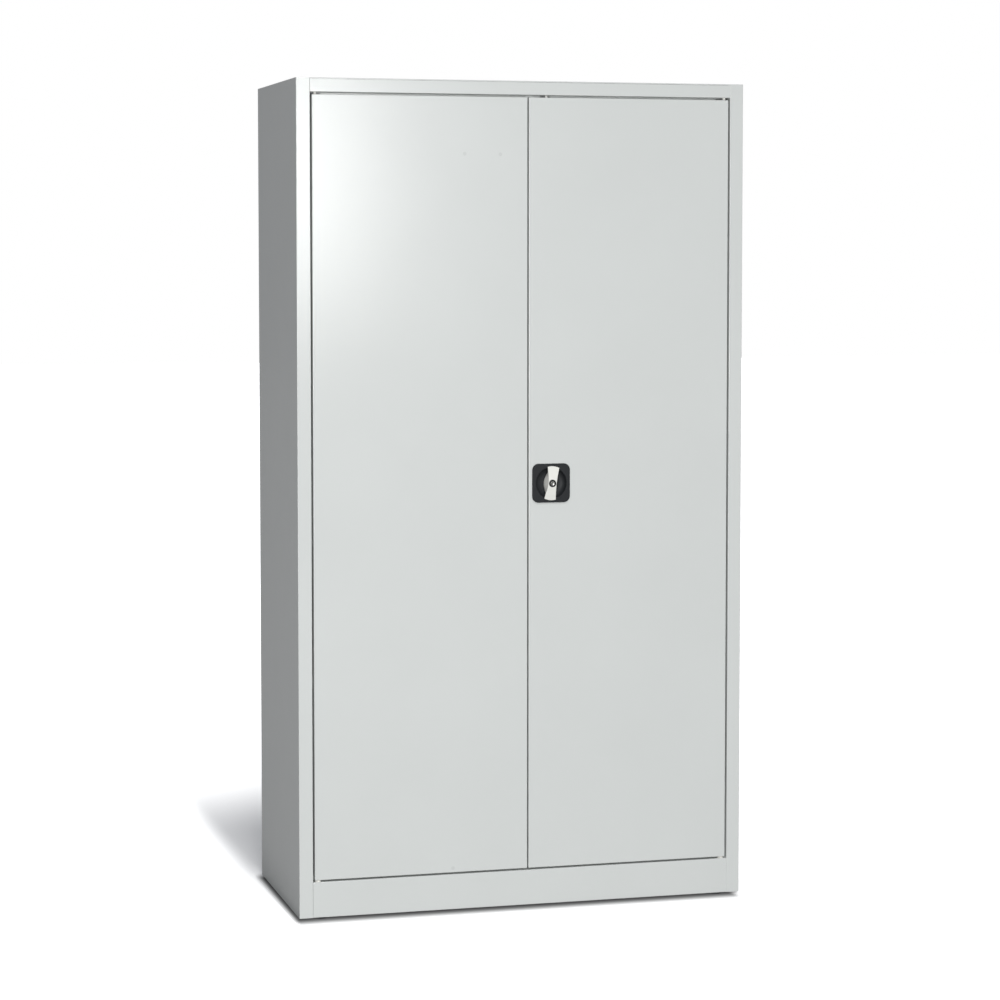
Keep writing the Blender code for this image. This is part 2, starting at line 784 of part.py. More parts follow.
def build_hinge_bush(name, side, seat, length):
    """Flanged nylon bush: the flange lies on the sheet at seat, and the sleeve goes down through it."""
    bore = PIN_RADIUS + SEAT_GAP
    flange = seat + SEAT_GAP
    profile = [
        (BUSH_FLANGE_RADIUS, flange + BUSH_FLANGE_HEIGHT),
        (BUSH_FLANGE_RADIUS, flange),
        (BUSH_RADIUS, flange),
        (BUSH_RADIUS, seat - length),
        (bore, seat - length),
        (bore, flange + BUSH_FLANGE_HEIGHT),
    ]
    return turned(name, profile, (side * pin_x, pin_y, 0), (0, 0, 1), white_plastic, ring=True)


def build_stiffener(name, middle):
    """Hat-shaped stiffener that stands behind the door's face, its flanges on the face."""
    seat = front + DOOR_SHEET + SEAT_GAP
    flange = seat + STIFFENER_SHEET
    crown = seat + STIFFENER_DEPTH
    bottom = door_bottom + STIFFENER_END_ROOM
    half = STIFFENER_WIDTH / 2
    outer = half + STIFFENER_FLANGE
    outline = [
        (middle - outer, flange, bottom),
        (middle - half, flange, bottom),
        (middle - half, crown, bottom),
        (middle + half, crown, bottom),
        (middle + half, flange, bottom),
        (middle + outer, flange, bottom),
    ]
    run = (0, 0, door_top - door_bottom - 2 * STIFFENER_END_ROOM)
    return folded(name, outline, run, STIFFENER_SHEET, (0, 1, 0), light_grey_paint)


def build_door_buffer(name, side):
    """Rubber buffer on the rail's stop flange, where a door comes to rest."""
    seat = stop_face - SEAT_GAP
    tip = door_back + SEAT_GAP
    profile = [
        (0, tip),
        (BUFFER_TIP_RADIUS, tip),
        (BUFFER_RADIUS, (seat + tip) / 2),
        (BUFFER_RADIUS, seat),
        (0, seat),
    ]
    profile = [(radius, -y) for radius, y in profile]
    where = (MEETING_PLACE + side * BUFFER_SPREAD, 0, opening_top - STOP_FLANGE + BUFFER_RADIUS + SEAT_GAP)
    return turned(name, profile, where, (0, -1, 0), black_rubber, SMALL_STEPS)


# Handle and lock
def lock_point(depth):
    """The point on the handle's axis at this depth behind the face of the door."""
    return Vector((handle_x, front + depth, handle_z))


def turned_in_lock(name, profile, material, steps=ROUND_STEPS, ring=False, group=None, offset=(0, 0)):
    """A turned piece on the handle's axis or beside it: (radius, depth) points, front end first."""
    heights = [(radius, -depth) for radius, depth in profile]
    where = lock_point(0) + Vector((offset[0], 0, offset[1]))
    return turned(name, heights, where, (0, -1, 0), material, steps, ring, group)


def dish(radius, rim, floor):
    """(radius, depth) points down a bowl's curved wall, from its rim to the edge of its flat floor."""
    points = []
    for step in range(DISH_STEPS + 1):
        angle = math.pi / 2 * step / DISH_STEPS
        out = BOWL_FLOOR_RADIUS + (radius - BOWL_FLOOR_RADIUS) * math.cos(angle)
        points.append((out, rim + (floor - rim) * math.sin(angle)))
    return points


def build_handle_escutcheon():
    """Moulded plate with a bowl that the grip turns in, and two posts behind it for the lock case."""
    face = -PLATE_PROUD
    plate_middle = lock_point(-(PLATE_PROUD + SEAT_GAP) / 2)
    outline = rounded_square(PLATE_SIZE, PLATE_CORNER)
    thickness = PLATE_PROUD - SEAT_GAP
    plate = outline_plate("handle_escutcheon", [outline], thickness, plate_middle, charcoal_plastic)
    soften(plate, PLATE_EDGE)
    rim = BOWL_RADIUS + BOWL_LIP
    outside = [(0, face + PLATE_EDGE), (rim, face + PLATE_EDGE)]
    outside += dish(rim, DOOR_SHEET, bowl_back) + [(0, bowl_back)]
    join(plate, turned_in_lock("bowl_outside", outside, None, BOWL_STEPS, group=helpers))
    for side in (-1, 1):
        post = [(0, bowl_back - BOWL_WALL / 2), (BOSS_RADIUS, bowl_back - BOWL_WALL / 2)]
        post += [(BOSS_RADIUS, case_inside - SEAT_GAP), (0, case_inside - SEAT_GAP)]
        place = (side * CASE_SCREW_PLACE, 0)
        join(plate, turned_in_lock("post_" + str(side), post, None, SMALL_STEPS, group=helpers, offset=place))
    edge = BOWL_RADIUS + BOWL_RIM
    inside = [(0, face - OVERRUN), (edge, face - OVERRUN), (edge, face)]
    inside += dish(BOWL_RADIUS, face + BOWL_RIM, bowl_floor) + [(0, bowl_floor)]
    cut(plate, turned_in_lock("bowl_inside", inside, None, BOWL_STEPS, group=helpers))
    neck = [(lock_point(bowl_back), NECK_RADIUS + SEAT_GAP, BOWL_WALL + OVERRUN)]
    cut(plate, holes("cut_neck", neck, (0, 1, 0), ROUND_STEPS))
    drilled = case_inside - SEAT_GAP
    screw_holes = []
    for side in (-1, 1):
        middle = lock_point(drilled) + Vector((side * CASE_SCREW_PLACE, 0, 0))
        screw_holes.append((middle, CASE_SCREW_RADIUS + SEAT_GAP, CASE_SCREW_LENGTH))
    cut(plate, holes("cut_posts", screw_holes, (0, 1, 0)))
    return plate


def grip_outline():
    """Bow-tie outline of the grip: ends on one circle round the axis, and nearly straight sides that meet
    in a soft bend at the waist."""
    bend_share = 0.25
    reach = GRIP_LENGTH / 2
    half_end = GRIP_END_WIDTH / 2
    corner = math.asin(half_end / reach)
    ends = arc((0, 0), reach, math.pi / 2 - corner, math.pi / 2 + corner, 2 * CORNER_STEPS)
    side = []
    high = reach * math.cos(corner)
    for step in range(1, 2 * CORNER_STEPS):
        z = high - 2 * high * step / (2 * CORNER_STEPS)
        out_share = (math.hypot(z / high, bend_share) - bend_share) / (math.hypot(1, bend_share) - bend_share)
        half = GRIP_WAIST / 2 + (half_end - GRIP_WAIST / 2) * out_share
        side.append((-half, z))
    upper = ends + side
    return tilted(upper + [(-x, -z) for x, z in upper])


def tilted(points):
    """The points turned by the small angle at which the grip stands, its top towards +X."""
    cosine = math.cos(HANDLE_TILT)
    sine = math.sin(HANDLE_TILT)
    return [(x * cosine + z * sine, z * cosine - x * sine) for x, z in points]


def pedestal_outline(length):
    """Oval outline of the pedestal under the grip, this long."""
    points = []
    steps = 6 * CORNER_STEPS
    for step in range(steps):
        angle = 2 * math.pi * step / steps
        points.append((PEDESTAL_WIDTH / 2 * math.cos(angle), length / 2 * math.sin(angle)))
    return tilted(points)


def pedestal(start, end):
    """Oval stem between these depths, drawn in at its foot so that it clears the bowl's curve."""
    bm = bmesh.new()
    rows = []
    sections = [
        (start, PEDESTAL_LENGTH),
        (end - PEDESTAL_FOOT_HEIGHT, PEDESTAL_LENGTH),
        (end, PEDESTAL_FOOT_LENGTH),
    ]
    for depth, length in sections:
        middle = lock_point(depth)
        rows.append([bm.verts.new(middle + Vector((x, 0, z))) for x, z in pedestal_outline(length)])
    for row, deeper in zip(rows, rows[1:]):
        for index, corner in enumerate(row):
            bm.faces.new((corner, row[index - 1], deeper[index - 1], deeper[index]))
    bm.faces.new(rows[0])
    bm.faces.new(rows[-1])
    bmesh.ops.recalc_face_normals(bm, faces=bm.faces)
    return object_from("pedestal", bm, helpers)


def build_handle_grip():
    """Moulded grip: the bow-tie bar, the pedestal under it, and the neck that turns in the bowl's floor."""
    thickness = GRIP_THICKNESS
    bar_middle = lock_point(-GRIP_PROUD + thickness / 2)
    grip = outline_plate("handle_grip", [grip_outline()], thickness, bar_middle, white_plastic)
    soften(grip, GRIP_EDGE)
    start = -GRIP_PROUD + thickness / 2
    end = bowl_floor - SEAT_GAP
    join(grip, pedestal(start, end))
    neck = [(0, end - GRIP_EDGE), (NECK_RADIUS, end - GRIP_EDGE), (NECK_RADIUS, bowl_back), (0, bowl_back)]
    join(grip, turned_in_lock("neck", neck, None, group=helpers))
    bore_end = BARREL_LENGTH - BARREL_PROUD - GRIP_PROUD + SEAT_GAP
    bore = [(0, -GRIP_PROUD - OVERRUN), (BARREL_RADIUS + SEAT_GAP, -GRIP_PROUD - OVERRUN)]
    bore += [(BARREL_RADIUS + SEAT_GAP, bore_end), (0, bore_end)]
    cut(grip, turned_in_lock("cut_barrel_bore", bore, None, group=helpers))
    half = SPINDLE_SIDE / 2 + SEAT_GAP
    low = lock_point(bore_end - OVERRUN) - Vector((half, 0, half))
    high = lock_point(bowl_back + OVERRUN) + Vector((half, 0, half))
    cut(grip, boxes("cut_spindle_socket", [(low, high)]))
    return grip


def build_lock_barrel():
    """Tube in the grip that the lock core turns in."""
    face = -GRIP_PROUD - BARREL_PROUD
    back = face + BARREL_LENGTH
    bore = CORE_RADIUS + SEAT_GAP
    profile = [
        (bore, face),
        (BARREL_RADIUS - BARREL_EDGE, face),
        (BARREL_RADIUS, face + BARREL_EDGE),
        (BARREL_RADIUS, back),
        (bore, back),
    ]
    return turned_in_lock("lock_barrel", profile, black_lacquer, ring=True)


def build_lock_core():
    """Cylinder core with its keyway."""
    face = -GRIP_PROUD - BARREL_PROUD + CORE_SUNK
    back = -GRIP_PROUD - BARREL_PROUD + BARREL_LENGTH
    profile = [(0, face), (CORE_RADIUS, face), (CORE_RADIUS, back), (0, back)]
    core = turned_in_lock("lock_core", profile, zinc_plate)
    keyway = tilted(rectangle(KEYWAY_WIDTH, KEYWAY_HEIGHT))
    cut(core, outline_plate("cut_keyway", [keyway], 2 * KEYWAY_DEPTH, lock_point(face), None, group=helpers))
    return core


def build_handle_spindle():
    """Square steel bar from the grip to the tongue, tapped at its rear end."""
    half = SPINDLE_SIDE / 2
    corner = Vector((half, 0, half))
    low = lock_point(spindle_start) - corner
    high = lock_point(spindle_end) + corner
    spindle = box("handle_spindle", low, high, zinc_plate)
    reach = SPINDLE_SCREW_LENGTH + SEAT_GAP
    tap = (lock_point(spindle_end), SPINDLE_SCREW_RADIUS + SEAT_GAP, reach)
    cut(spindle, holes("cut_spindle_tap", [tap], (0, 1, 0)))
    return spindle


def build_spindle_screw():
    """Pan-head screw with its washer, which holds the tongue on the spindle."""
    seat = spindle_end + SEAT_GAP
    washer = seat + SPINDLE_WASHER_HEIGHT
    profile = [
        (0, seat - SPINDLE_SCREW_LENGTH),
        (SPINDLE_SCREW_RADIUS, seat - SPINDLE_SCREW_LENGTH),
        (SPINDLE_SCREW_RADIUS, seat),
        (SPINDLE_WASHER_RADIUS, seat),
        (SPINDLE_WASHER_RADIUS, washer),
        (SPINDLE_HEAD_RADIUS, washer),
        (SPINDLE_HEAD_RADIUS, washer + SPINDLE_HEAD_HEIGHT / 2),
        (SPINDLE_HEAD_RADIUS - SPINDLE_HEAD_HEIGHT / 2, washer + SPINDLE_HEAD_HEIGHT),
        (0, washer + SPINDLE_HEAD_HEIGHT),
    ]
    return turned_in_lock("spindle_screw", profile, zinc_plate, SMALL_STEPS)


def gear_radii():
    """Root and tip radius: the teeth are short of full height, so that they run free."""
    addendum_share = 0.8
    dedendum_share = 1.25
    return pitch_radius - dedendum_share * GEAR_MODULE, pitch_radius + addendum_share * GEAR_MODULE


def build_drive_pinion():
    """Small gear on the spindle. Each tooth is a trapezium that narrows to its tip."""
    root_share = 0.3
    pitch_share = 0.21
    tip_share = 0.12
    root, tip = gear_radii()
    step = 2 * math.pi / GEAR_TEETH
    outline = []
    for tooth in range(GEAR_TEETH):
        middle = tooth * step
        flank = [(root, root_share), (pitch_radius, pitch_share), (tip, tip_share)]
        rising = [(radius, middle - share * step) for radius, share in flank]
        falling = [(radius, middle + share * step) for radius, share in reversed(flank)]
        for radius, angle in rising + falling:
            outline.append((radius * math.cos(angle), radius * math.sin(angle)))
    bore = rectangle(SPINDLE_SIDE + 2 * SEAT_GAP, SPINDLE_SIDE + 2 * SEAT_GAP)
    return outline_plate("drive_pinion", [outline, bore], GEAR_WIDTH, lock_point(gear_middle), zinc_plate)


def rod_x(end):
    """Where the upper (1) or lower (-1) rod runs: over the inner part of its rack's head."""
    back = pitch_radius + rack_root_depth() + RACK_BODY
    return handle_x - end * (back - RACK_HEAD_WIDTH / 2 - ROD_RADIUS / 2)


def rack_root_depth():
    depth_share = 1.25
    return depth_share * GEAR_MODULE


def build_rack(name, end):
    """Toothed plate at one side of the pinion, with a head above or below it that holds the rod."""
    root, tip = gear_radii()
    base_share = 0.3
    top_share = 0.1
    root_line = -pitch_radius - rack_root_depth()
    back_line = root_line - RACK_BODY
    tip_line = -pitch_radius + (tip - pitch_radius)
    head_bottom = tip + RACK_HEAD_ROOM
    head_top = head_bottom + RACK_HEAD_HEIGHT
    head_side = back_line + RACK_HEAD_WIDTH
    first = tooth_pitch / 2
    outline = [(back_line, head_top), (back_line, first - RACK_TEETH * tooth_pitch)]
    outline.append((root_line, first - RACK_TEETH * tooth_pitch))
    for tooth in reversed(range(RACK_TEETH)):
        middle = first - tooth * tooth_pitch
        outline += [
            (root_line, middle - base_share * tooth_pitch),
            (tip_line, middle - top_share * tooth_pitch),
            (tip_line, middle + top_share * tooth_pitch),
            (root_line, middle + base_share * tooth_pitch),
        ]
    outline += [(root_line, head_bottom), (head_side, head_bottom), (head_side, head_top)]
    placed = [(end * x, end * z) for x, z in outline]
    return outline_plate(name, [placed], GEAR_WIDTH, lock_point(gear_middle), zinc_plate)


def build_rod(name, end):
    """Round rod with a slotted end over the rack's head. Its far end is the bolt that locks the door."""
    tip = gear_radii()[1]
    head_end = handle_z + end * (tip + RACK_HEAD_ROOM + RACK_HEAD_HEIGHT)
    near = head_end - end * ROD_LAP
    far = door_top + UPPER_ROD_SHOWS
    if end < 0:
        far = door_bottom + LOWER_ROD_SUNK
    length = abs(far - near)
    profile = [
        (0, length),
        (ROD_RADIUS - ROD_TIP_CHAMFER, length),
        (ROD_RADIUS, length - ROD_TIP_CHAMFER),
        (ROD_RADIUS, 0),
        (0, 0),
    ]
    rod = turned(name, profile, (rod_x(end), rod_y, near), (0, 0, end), zinc_plate)
    slot_end = head_end + end * SEAT_GAP
    thick = GEAR_WIDTH / 2 + SEAT_GAP
    wide = ROD_RADIUS + OVERRUN
    ends = sorted((near - end * OVERRUN, slot_end))
    span = ((rod_x(end) - wide, rod_y - thick, ends[0]), (rod_x(end) + wide, rod_y + thick, ends[1]))
    cut(rod, boxes("cut_" + name + "_slot", [span]))
    return rod


def build_lock_case():
    """Hat-shaped steel case behind the bowl: its feet press on the door's face, its back holds the gear."""
    foot = DOOR_SHEET + SEAT_GAP + CASE_SHEET
    high = CASE_HEIGHT / 2
    left = handle_x - CASE_WIDTH / 2
    depths = [(high + CASE_FOOT, foot), (high, foot), (high, case_back)]
    depths += [(-high, case_back), (-high, foot), (-high - CASE_FOOT, foot)]
    outline = [(left, front + depth, handle_z + height) for height, depth in depths]
    case = folded("lock_case", outline, (CASE_WIDTH, 0, 0), CASE_SHEET, (0, 1, 0), zinc_plate)
    bearing = [(lock_point(case_back), SPINDLE_BUSH_RADIUS + SEAT_GAP, CASE_SHEET + OVERRUN)]
    cut(case, holes("cut_case_bearing", bearing, (0, 1, 0), ROUND_STEPS))
    screw_holes = []
    for side in (-1, 1):
        middle = lock_point(case_back) + Vector((side * CASE_SCREW_PLACE, 0, 0))
        screw_holes.append((middle, CASE_SCREW_RADIUS + SEAT_GAP, CASE_SHEET + OVERRUN))
    cut(case, holes("cut_case_screws", screw_holes, (0, 1, 0)))
    notches = []
    for end in (-1, 1):
        middle = Vector((rod_x(end), rod_y, handle_z + end * high))
        reach = ROD_RADIUS + OVERRUN
        half = Vector((reach, reach, CASE_SHEET + OVERRUN))
        notches.append((middle - half, middle + half))
    cut(case, boxes("cut_case_notches", notches))
    return case


def build_case_screw(name, side):
    seat = case_back + SEAT_GAP
    profile = [
        (0, seat - CASE_SCREW_LENGTH),
        (CASE_SCREW_RADIUS, seat - CASE_SCREW_LENGTH),
        (CASE_SCREW_RADIUS, seat),
        (CASE_SCREW_HEAD_RADIUS, seat),
        (CASE_SCREW_HEAD_RADIUS - CASE_SCREW_HEAD_HEIGHT / 2, seat + CASE_SCREW_HEAD_HEIGHT),
        (0, seat + CASE_SCREW_HEAD_HEIGHT),
    ]
    return turned_in_lock(name, profile, zinc_plate, SMALL_STEPS, offset=(side * CASE_SCREW_PLACE, 0))


def build_spindle_bush():
    bore = math.hypot(SPINDLE_SIDE, SPINDLE_SIDE) / 2 + SEAT_GAP
    flange = case_back + SEAT_GAP
    back = flange + SPINDLE_BUSH_FLANGE_HEIGHT
    start = case_inside - SEAT_GAP
    profile = [
        (bore, start),
        (SPINDLE_BUSH_RADIUS, start),
        (SPINDLE_BUSH_RADIUS, flange),
        (SPINDLE_BUSH_FLANGE_RADIUS, flange),
        (SPINDLE_BUSH_FLANGE_RADIUS, back),
        (bore, back),
    ]
    return turned_in_lock("spindle_bush", profile, white_plastic, ring=True)


def build_latch_tongue():
    """Flat tongue that hangs from the spindle behind the door, and swings over to the left door."""
    half = TONGUE_WIDTH / 2
    spread = math.asin(half / TONGUE_HUB_RADIUS)
    hub = arc((0, 0), TONGUE_HUB_RADIUS, spread - math.pi / 2, 3 * math.pi / 2 - spread, 4 * CORNER_STEPS)
    end = arc((0, half - TONGUE_LENGTH), half, math.pi, 2 * math.pi, 2 * CORNER_STEPS)
    hole = rectangle(SPINDLE_SIDE + 2 * SEAT_GAP, SPINDLE_SIDE + 2 * SEAT_GAP)
    middle = lock_point((tongue_front + tongue_back) / 2)
    return outline_plate("latch_tongue", [hub + end, hole], TONGUE_SHEET, middle, zinc_plate)


def build_tongue_strike():
    """Stepped bracket on the left door's lip. The tongue swings in between the lip and its outer leg."""
    foot = DOOR_DEPTH + SEAT_GAP + STRIKE_SHEET
    leg = tongue_back + STRIKE_ROOM + STRIKE_SHEET
    step_x = handle_x - TONGUE_LENGTH - STRIKE_TIP_ROOM
    bottom = handle_z - STRIKE_HEIGHT / 2
    outline = [
        (step_x - STRIKE_FOOT, front + foot, bottom),
        (step_x, front + foot, bottom),
        (step_x, front + leg, bottom),
        (step_x + STRIKE_REACH, front + leg, bottom),
    ]
    run = (0, 0, STRIKE_HEIGHT)
    strike = folded("tongue_strike", outline, run, STRIKE_SHEET, (0, 1, 0), zinc_plate)
    strike.modifiers["folds"].width = STRIKE_SHEET
    return strike


def build_rod_guide(name, end):
    """Nylon guide that steadies a rod halfway along the door."""
    edge = door_top if end > 0 else door_bottom
    middle = Vector((rod_x(end), 0, handle_z + (edge - handle_z) * GUIDE_PLACE_SHARE))
    half = Vector((GUIDE_WIDTH / 2, 0, GUIDE_HEIGHT / 2))
    low = middle - half + Vector((0, front + DOOR_SHEET + SEAT_GAP, 0))
    high = middle + half + Vector((0, door_back - DOOR_SHEET - SEAT_GAP, 0))
    guide = box(name, low, high, white_plastic)
    bore = (middle + Vector((0, rod_y, 0)), ROD_RADIUS + SEAT_GAP, GUIDE_HEIGHT)
    cut(guide, holes("cut_" + name, [bore], (0, 0, 1), ROUND_STEPS))
    return guide


def joint_axis(name, where, parent=None):
    """An empty on a joint's axis, which the pieces that move with it hang from."""
    made = bpy.data.objects.new(name, None)
    made.location = where
    pieces.objects.link(made)
    bpy.context.view_layer.update()
    if parent:
        hang(made, parent)
    return made


def hang(piece, axis):
    bpy.context.view_layer.update()
    piece.parent = axis
    piece.matrix_parent_inverse = axis.matrix_world.inverted()
    bpy.context.view_layer.update()


def build_body():
    build_side_panel("left_side_panel", -1)
    build_side_panel("right_side_panel", 1)
    build_top_panel()
    build_floor_panel()
    build_back_panel()
    build_front_plinth()
    build_rear_base_rail()
    for row, y in (("front", front + GLIDE_INSET), ("rear", frame_rear - GLIDE_INSET)):
        for word, side in SIDES.items():
            build_glide(row + "_" + word + "_glide", side, y)
    for row, middle in upright_places().items():
        for word, side in SIDES.items():
            build_upright(row + "_" + word + "_upright", side, middle)
    for number, slot in enumerate(shelf_slots(), 1):
        build_shelf("shelf_" + str(number), slot)
        for word, side in SIDES.items():
            build_shelf_bearer("shelf_" + str(number) + "_" + word + "_bearer", side, slot)
    for word, side in SIDES.items():
        build_door_buffer(word + "_door_buffer", side)
        build_hinge_bush("upper_" + word + "_hinge_bush", side, opening_top + BODY_SHEET, BODY_SHEET)
        build_hinge_bush("lower_" + word + "_hinge_bush", side, PLINTH_HEIGHT, BODY_SHEET)


def build_left_door():
    axis = joint_axis("left_door_axis", (-pin_x, pin_y, 0))
    middle = left_free_edge - LEFT_STIFFENER_FROM_EDGE
    for piece in (
        build_door_shell("left_door_shell", -1, []),
        build_upper_hinge_pin("left_upper_hinge_pin", -1),
        build_lower_hinge_pin("left_lower_hinge_pin", -1),
        build_stiffener("left_door_stiffener", middle),
        build_tongue_strike(),
    ):
        hang(piece, axis)


def build_right_door():
    axis = joint_axis("right_door_axis", (pin_x, pin_y, 0))
    middle = (right_free_edge + door_hinge_edge) / 2
    for piece in (
        build_door_shell("right_door_shell", 1, right_door_cutters()),
        build_upper_hinge_pin("right_upper_hinge_pin", 1),
        build_lower_hinge_pin("right_lower_hinge_pin", 1),
        build_stiffener("right_door_stiffener", middle),
        build_handle_escutcheon(),
        build_lock_case(),
        build_case_screw("left_case_screw", -1),
        build_case_screw("right_case_screw", 1),
        build_spindle_bush(),
        build_rod_guide("upper_rod_guide", 1),
        build_rod_guide("lower_rod_guide", -1),
    ):
        hang(piece, axis)
    return axis


def build_lock(door_axis):
    turn_axis = joint_axis("handle_axis", lock_point(0), door_axis)
    key_axis = joint_axis("key_axis", lock_point(-GRIP_PROUD), turn_axis)
    grip = build_handle_grip()
    for piece in (
        grip,
        build_lock_barrel(),
        build_handle_spindle(),
        build_drive_pinion(),
        build_latch_tongue(),
        build_spindle_screw(),
    ):
        hang(piece, turn_axis)
    hang(build_lock_core(), key_axis)
    for word, end in (("upper", 1), ("lower", -1)):
        slide = joint_axis(word + "_rod_axis", (rod_x(end), rod_y, handle_z), door_axis)
        hang(build_rod(word + "_rod", end), slide)
        hang(build_rack(word + "_rack", end), slide)


build_body()
build_left_door()
build_lock(build_right_door())
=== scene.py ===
import math

import bmesh
import bpy
from mathutils import Matrix, Vector


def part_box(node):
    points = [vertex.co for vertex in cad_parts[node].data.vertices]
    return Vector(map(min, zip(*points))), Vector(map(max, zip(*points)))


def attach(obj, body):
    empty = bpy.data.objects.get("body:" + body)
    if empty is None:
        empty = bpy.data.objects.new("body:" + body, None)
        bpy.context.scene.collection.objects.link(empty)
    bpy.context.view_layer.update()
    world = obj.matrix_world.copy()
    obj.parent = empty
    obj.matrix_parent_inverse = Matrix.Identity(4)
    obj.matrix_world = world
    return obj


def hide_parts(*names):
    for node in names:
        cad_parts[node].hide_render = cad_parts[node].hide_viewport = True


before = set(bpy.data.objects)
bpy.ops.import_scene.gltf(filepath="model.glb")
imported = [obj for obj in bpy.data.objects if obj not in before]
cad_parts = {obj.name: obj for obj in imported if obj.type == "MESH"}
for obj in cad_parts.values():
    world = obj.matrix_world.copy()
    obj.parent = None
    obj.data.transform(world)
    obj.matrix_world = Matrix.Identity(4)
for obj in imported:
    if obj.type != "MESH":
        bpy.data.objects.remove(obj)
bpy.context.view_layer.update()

scene = bpy.context.scene
scene.view_settings.view_transform = "Standard"

# Camera. It stands left of the cabinet at chest height, and was worked out from the cabinet's corner
# points. The small lens shift is what the framing needs; the rest of the drop is a slight downward tilt.
camera = bpy.data.objects.new("camera", bpy.data.cameras.new("camera"))
camera.location = (-1.6381, -6.0719, 1.4302)
camera_turn = math.radians(-15.157)
camera_tilt = math.radians(-3.615)
camera.rotation_euler = (math.pi / 2 + camera_tilt, 0, camera_turn)
camera.data.sensor_width = 36
camera.data.lens = 100.914
camera.data.shift_y = -0.07
scene.collection.objects.link(camera)
scene.camera = camera

# Studio. A white paper floor with white all round, which lights the paint only as a plain grey. A broad
# lamp stands beside the camera, a light from high in front throws the shadow behind the cabinet, and a tall
# softbox glosses the cabinet's top left corner.


def add_node(tree, kind, inputs=None, **settings):
    """Adds a node: settings are its own properties, and inputs are values or the sockets that feed it."""
    node = tree.nodes.new(kind)
    for name, value in settings.items():
        setattr(node, name, value)
    for name, value in (inputs or {}).items():
        if isinstance(value, bpy.types.NodeSocket):
            tree.links.new(value, node.inputs[name])
        else:
            node.inputs[name].default_value = value
    return node


def linear(code):
    """The linear colour of an sRGB hex value."""
    channels = [int(code[start:start + 2], 16) / 255 for start in (1, 3, 5)]
    return tuple(c / 12.92 if c <= 0.04045 else ((c + 0.055) / 1.055) ** 2.4 for c in channels) + (1,)


def start_material(name):
    """A new material, and its node tree with nothing in it."""
    made = bpy.data.materials.new(name)
    made.use_nodes = True
    made.node_tree.nodes.clear()
    return made, made.node_tree


reflected_share = 0.2


def seen_as_white(tree):
    """How white the background is to a ray: fully to the camera and through glass, in part off gloss."""
    path = add_node(tree, "ShaderNodeLightPath")
    seen = add_node(tree, "ShaderNodeMath", {0: path.outputs["Is Camera Ray"],
                                             1: path.outputs["Is Transmission Ray"]}, operation="MAXIMUM")
    off_gloss = add_node(tree, "ShaderNodeMath", {0: path.outputs["Is Glossy Ray"], 1: reflected_share},
                         operation="MULTIPLY")
    return add_node(tree, "ShaderNodeMath", {0: seen.outputs[0], 1: off_gloss.outputs[0]},
                    operation="MAXIMUM").outputs[0]


room_light = 0.225
world = bpy.data.worlds.new("studio_room")
scene.world = world
world.use_nodes = True
tree = world.node_tree
tree.nodes.clear()
fill = add_node(tree, "ShaderNodeBackground", {"Color": linear("#F6F9FF"), "Strength": room_light})
white = add_node(tree, "ShaderNodeBackground", {"Color": linear("#FFFFFF"), "Strength": 1.0})
both = add_node(tree, "ShaderNodeMixShader", {0: seen_as_white(tree), 1: fill.outputs[0],
                                              2: white.outputs[0]})
add_node(tree, "ShaderNodeOutputWorld", {"Surface": both.outputs[0]})

floor_reach = 30
floor_mesh = bpy.data.meshes.new("studio_floor")
corners = [(x * floor_reach, y * floor_reach, 0) for x, y in ((-1, -1), (1, -1), (1, 1), (-1, 1))]
floor_mesh.from_pydata(corners, [], [(0, 1, 2, 3)])
floor = bpy.data.objects.new("studio_floor", floor_mesh)
scene.collection.objects.link(floor)
paper, tree = start_material("white_backdrop_paper")
place = add_node(tree, "ShaderNodeTexCoord")
# Painted light: the paper glows to white all over, except in a patch behind the cabinet, where the glow
# is painted low so that the shadow from the front shows.
shadow_middle = (0, 0.525, 0)
shadow_half = (0.49, 0.125, 0)
shadow_fade = (0.1, 1.05, 1)
glow_in_shadow = 0.02
glow_of_paper = 0.9
shifted = add_node(tree, "ShaderNodeVectorMath", {0: place.outputs["Object"], 1: shadow_middle},
                   operation="SUBTRACT")
mirrored = add_node(tree, "ShaderNodeVectorMath", {0: shifted.outputs[0]}, operation="ABSOLUTE")
past = add_node(tree, "ShaderNodeVectorMath", {0: mirrored.outputs[0], 1: shadow_half},
                operation="SUBTRACT")
past = add_node(tree, "ShaderNodeVectorMath", {0: past.outputs[0], 1: (0, 0, 0)}, operation="MAXIMUM")
past = add_node(tree, "ShaderNodeVectorMath", {0: past.outputs[0], 1: shadow_fade}, operation="DIVIDE")
distance = add_node(tree, "ShaderNodeVectorMath", {0: past.outputs[0]}, operation="LENGTH")
painted_glow = add_node(tree, "ShaderNodeMapRange", {"Value": distance.outputs["Value"], "To Min": glow_in_shadow,
                                             "To Max": glow_of_paper}, interpolation_type="SMOOTHSTEP")
# Painted contact shadow: the paper's colour and its glow are painted dark under the base. Each
# edge of that painted dark has its axis, its place, and how far and which way it fades out: 23 mm at
# the left, 80 mm in front.
painted_shade_under_base = 0.08
painted_shadow_edges = (("X", -0.5, -0.023), ("X", 0.475, 0.035), ("Y", -0.225, -0.08), ("Y", 0.19, 0.07))
axes = add_node(tree, "ShaderNodeSeparateXYZ", {0: place.outputs["Object"]})
reaches = []
for axis, edge, fade in painted_shadow_edges:
    beyond = add_node(tree, "ShaderNodeMath", {0: axes.outputs[axis], 1: edge}, operation="SUBTRACT")
    reaches.append(add_node(tree, "ShaderNodeMath", {0: beyond.outputs[0], 1: fade}, operation="DIVIDE"))
past_side, past_front = [
    add_node(tree, "ShaderNodeMath", {0: low.outputs[0], 1: high.outputs[0]}, operation="MAXIMUM").outputs[0]
    for low, high in (reaches[:2], reaches[2:])]
past_base = add_node(tree, "ShaderNodeCombineXYZ", {0: past_side, 1: past_front})
past_base = add_node(tree, "ShaderNodeVectorMath", {0: past_base.outputs[0], 1: (0, 0, 0)},
                     operation="MAXIMUM")
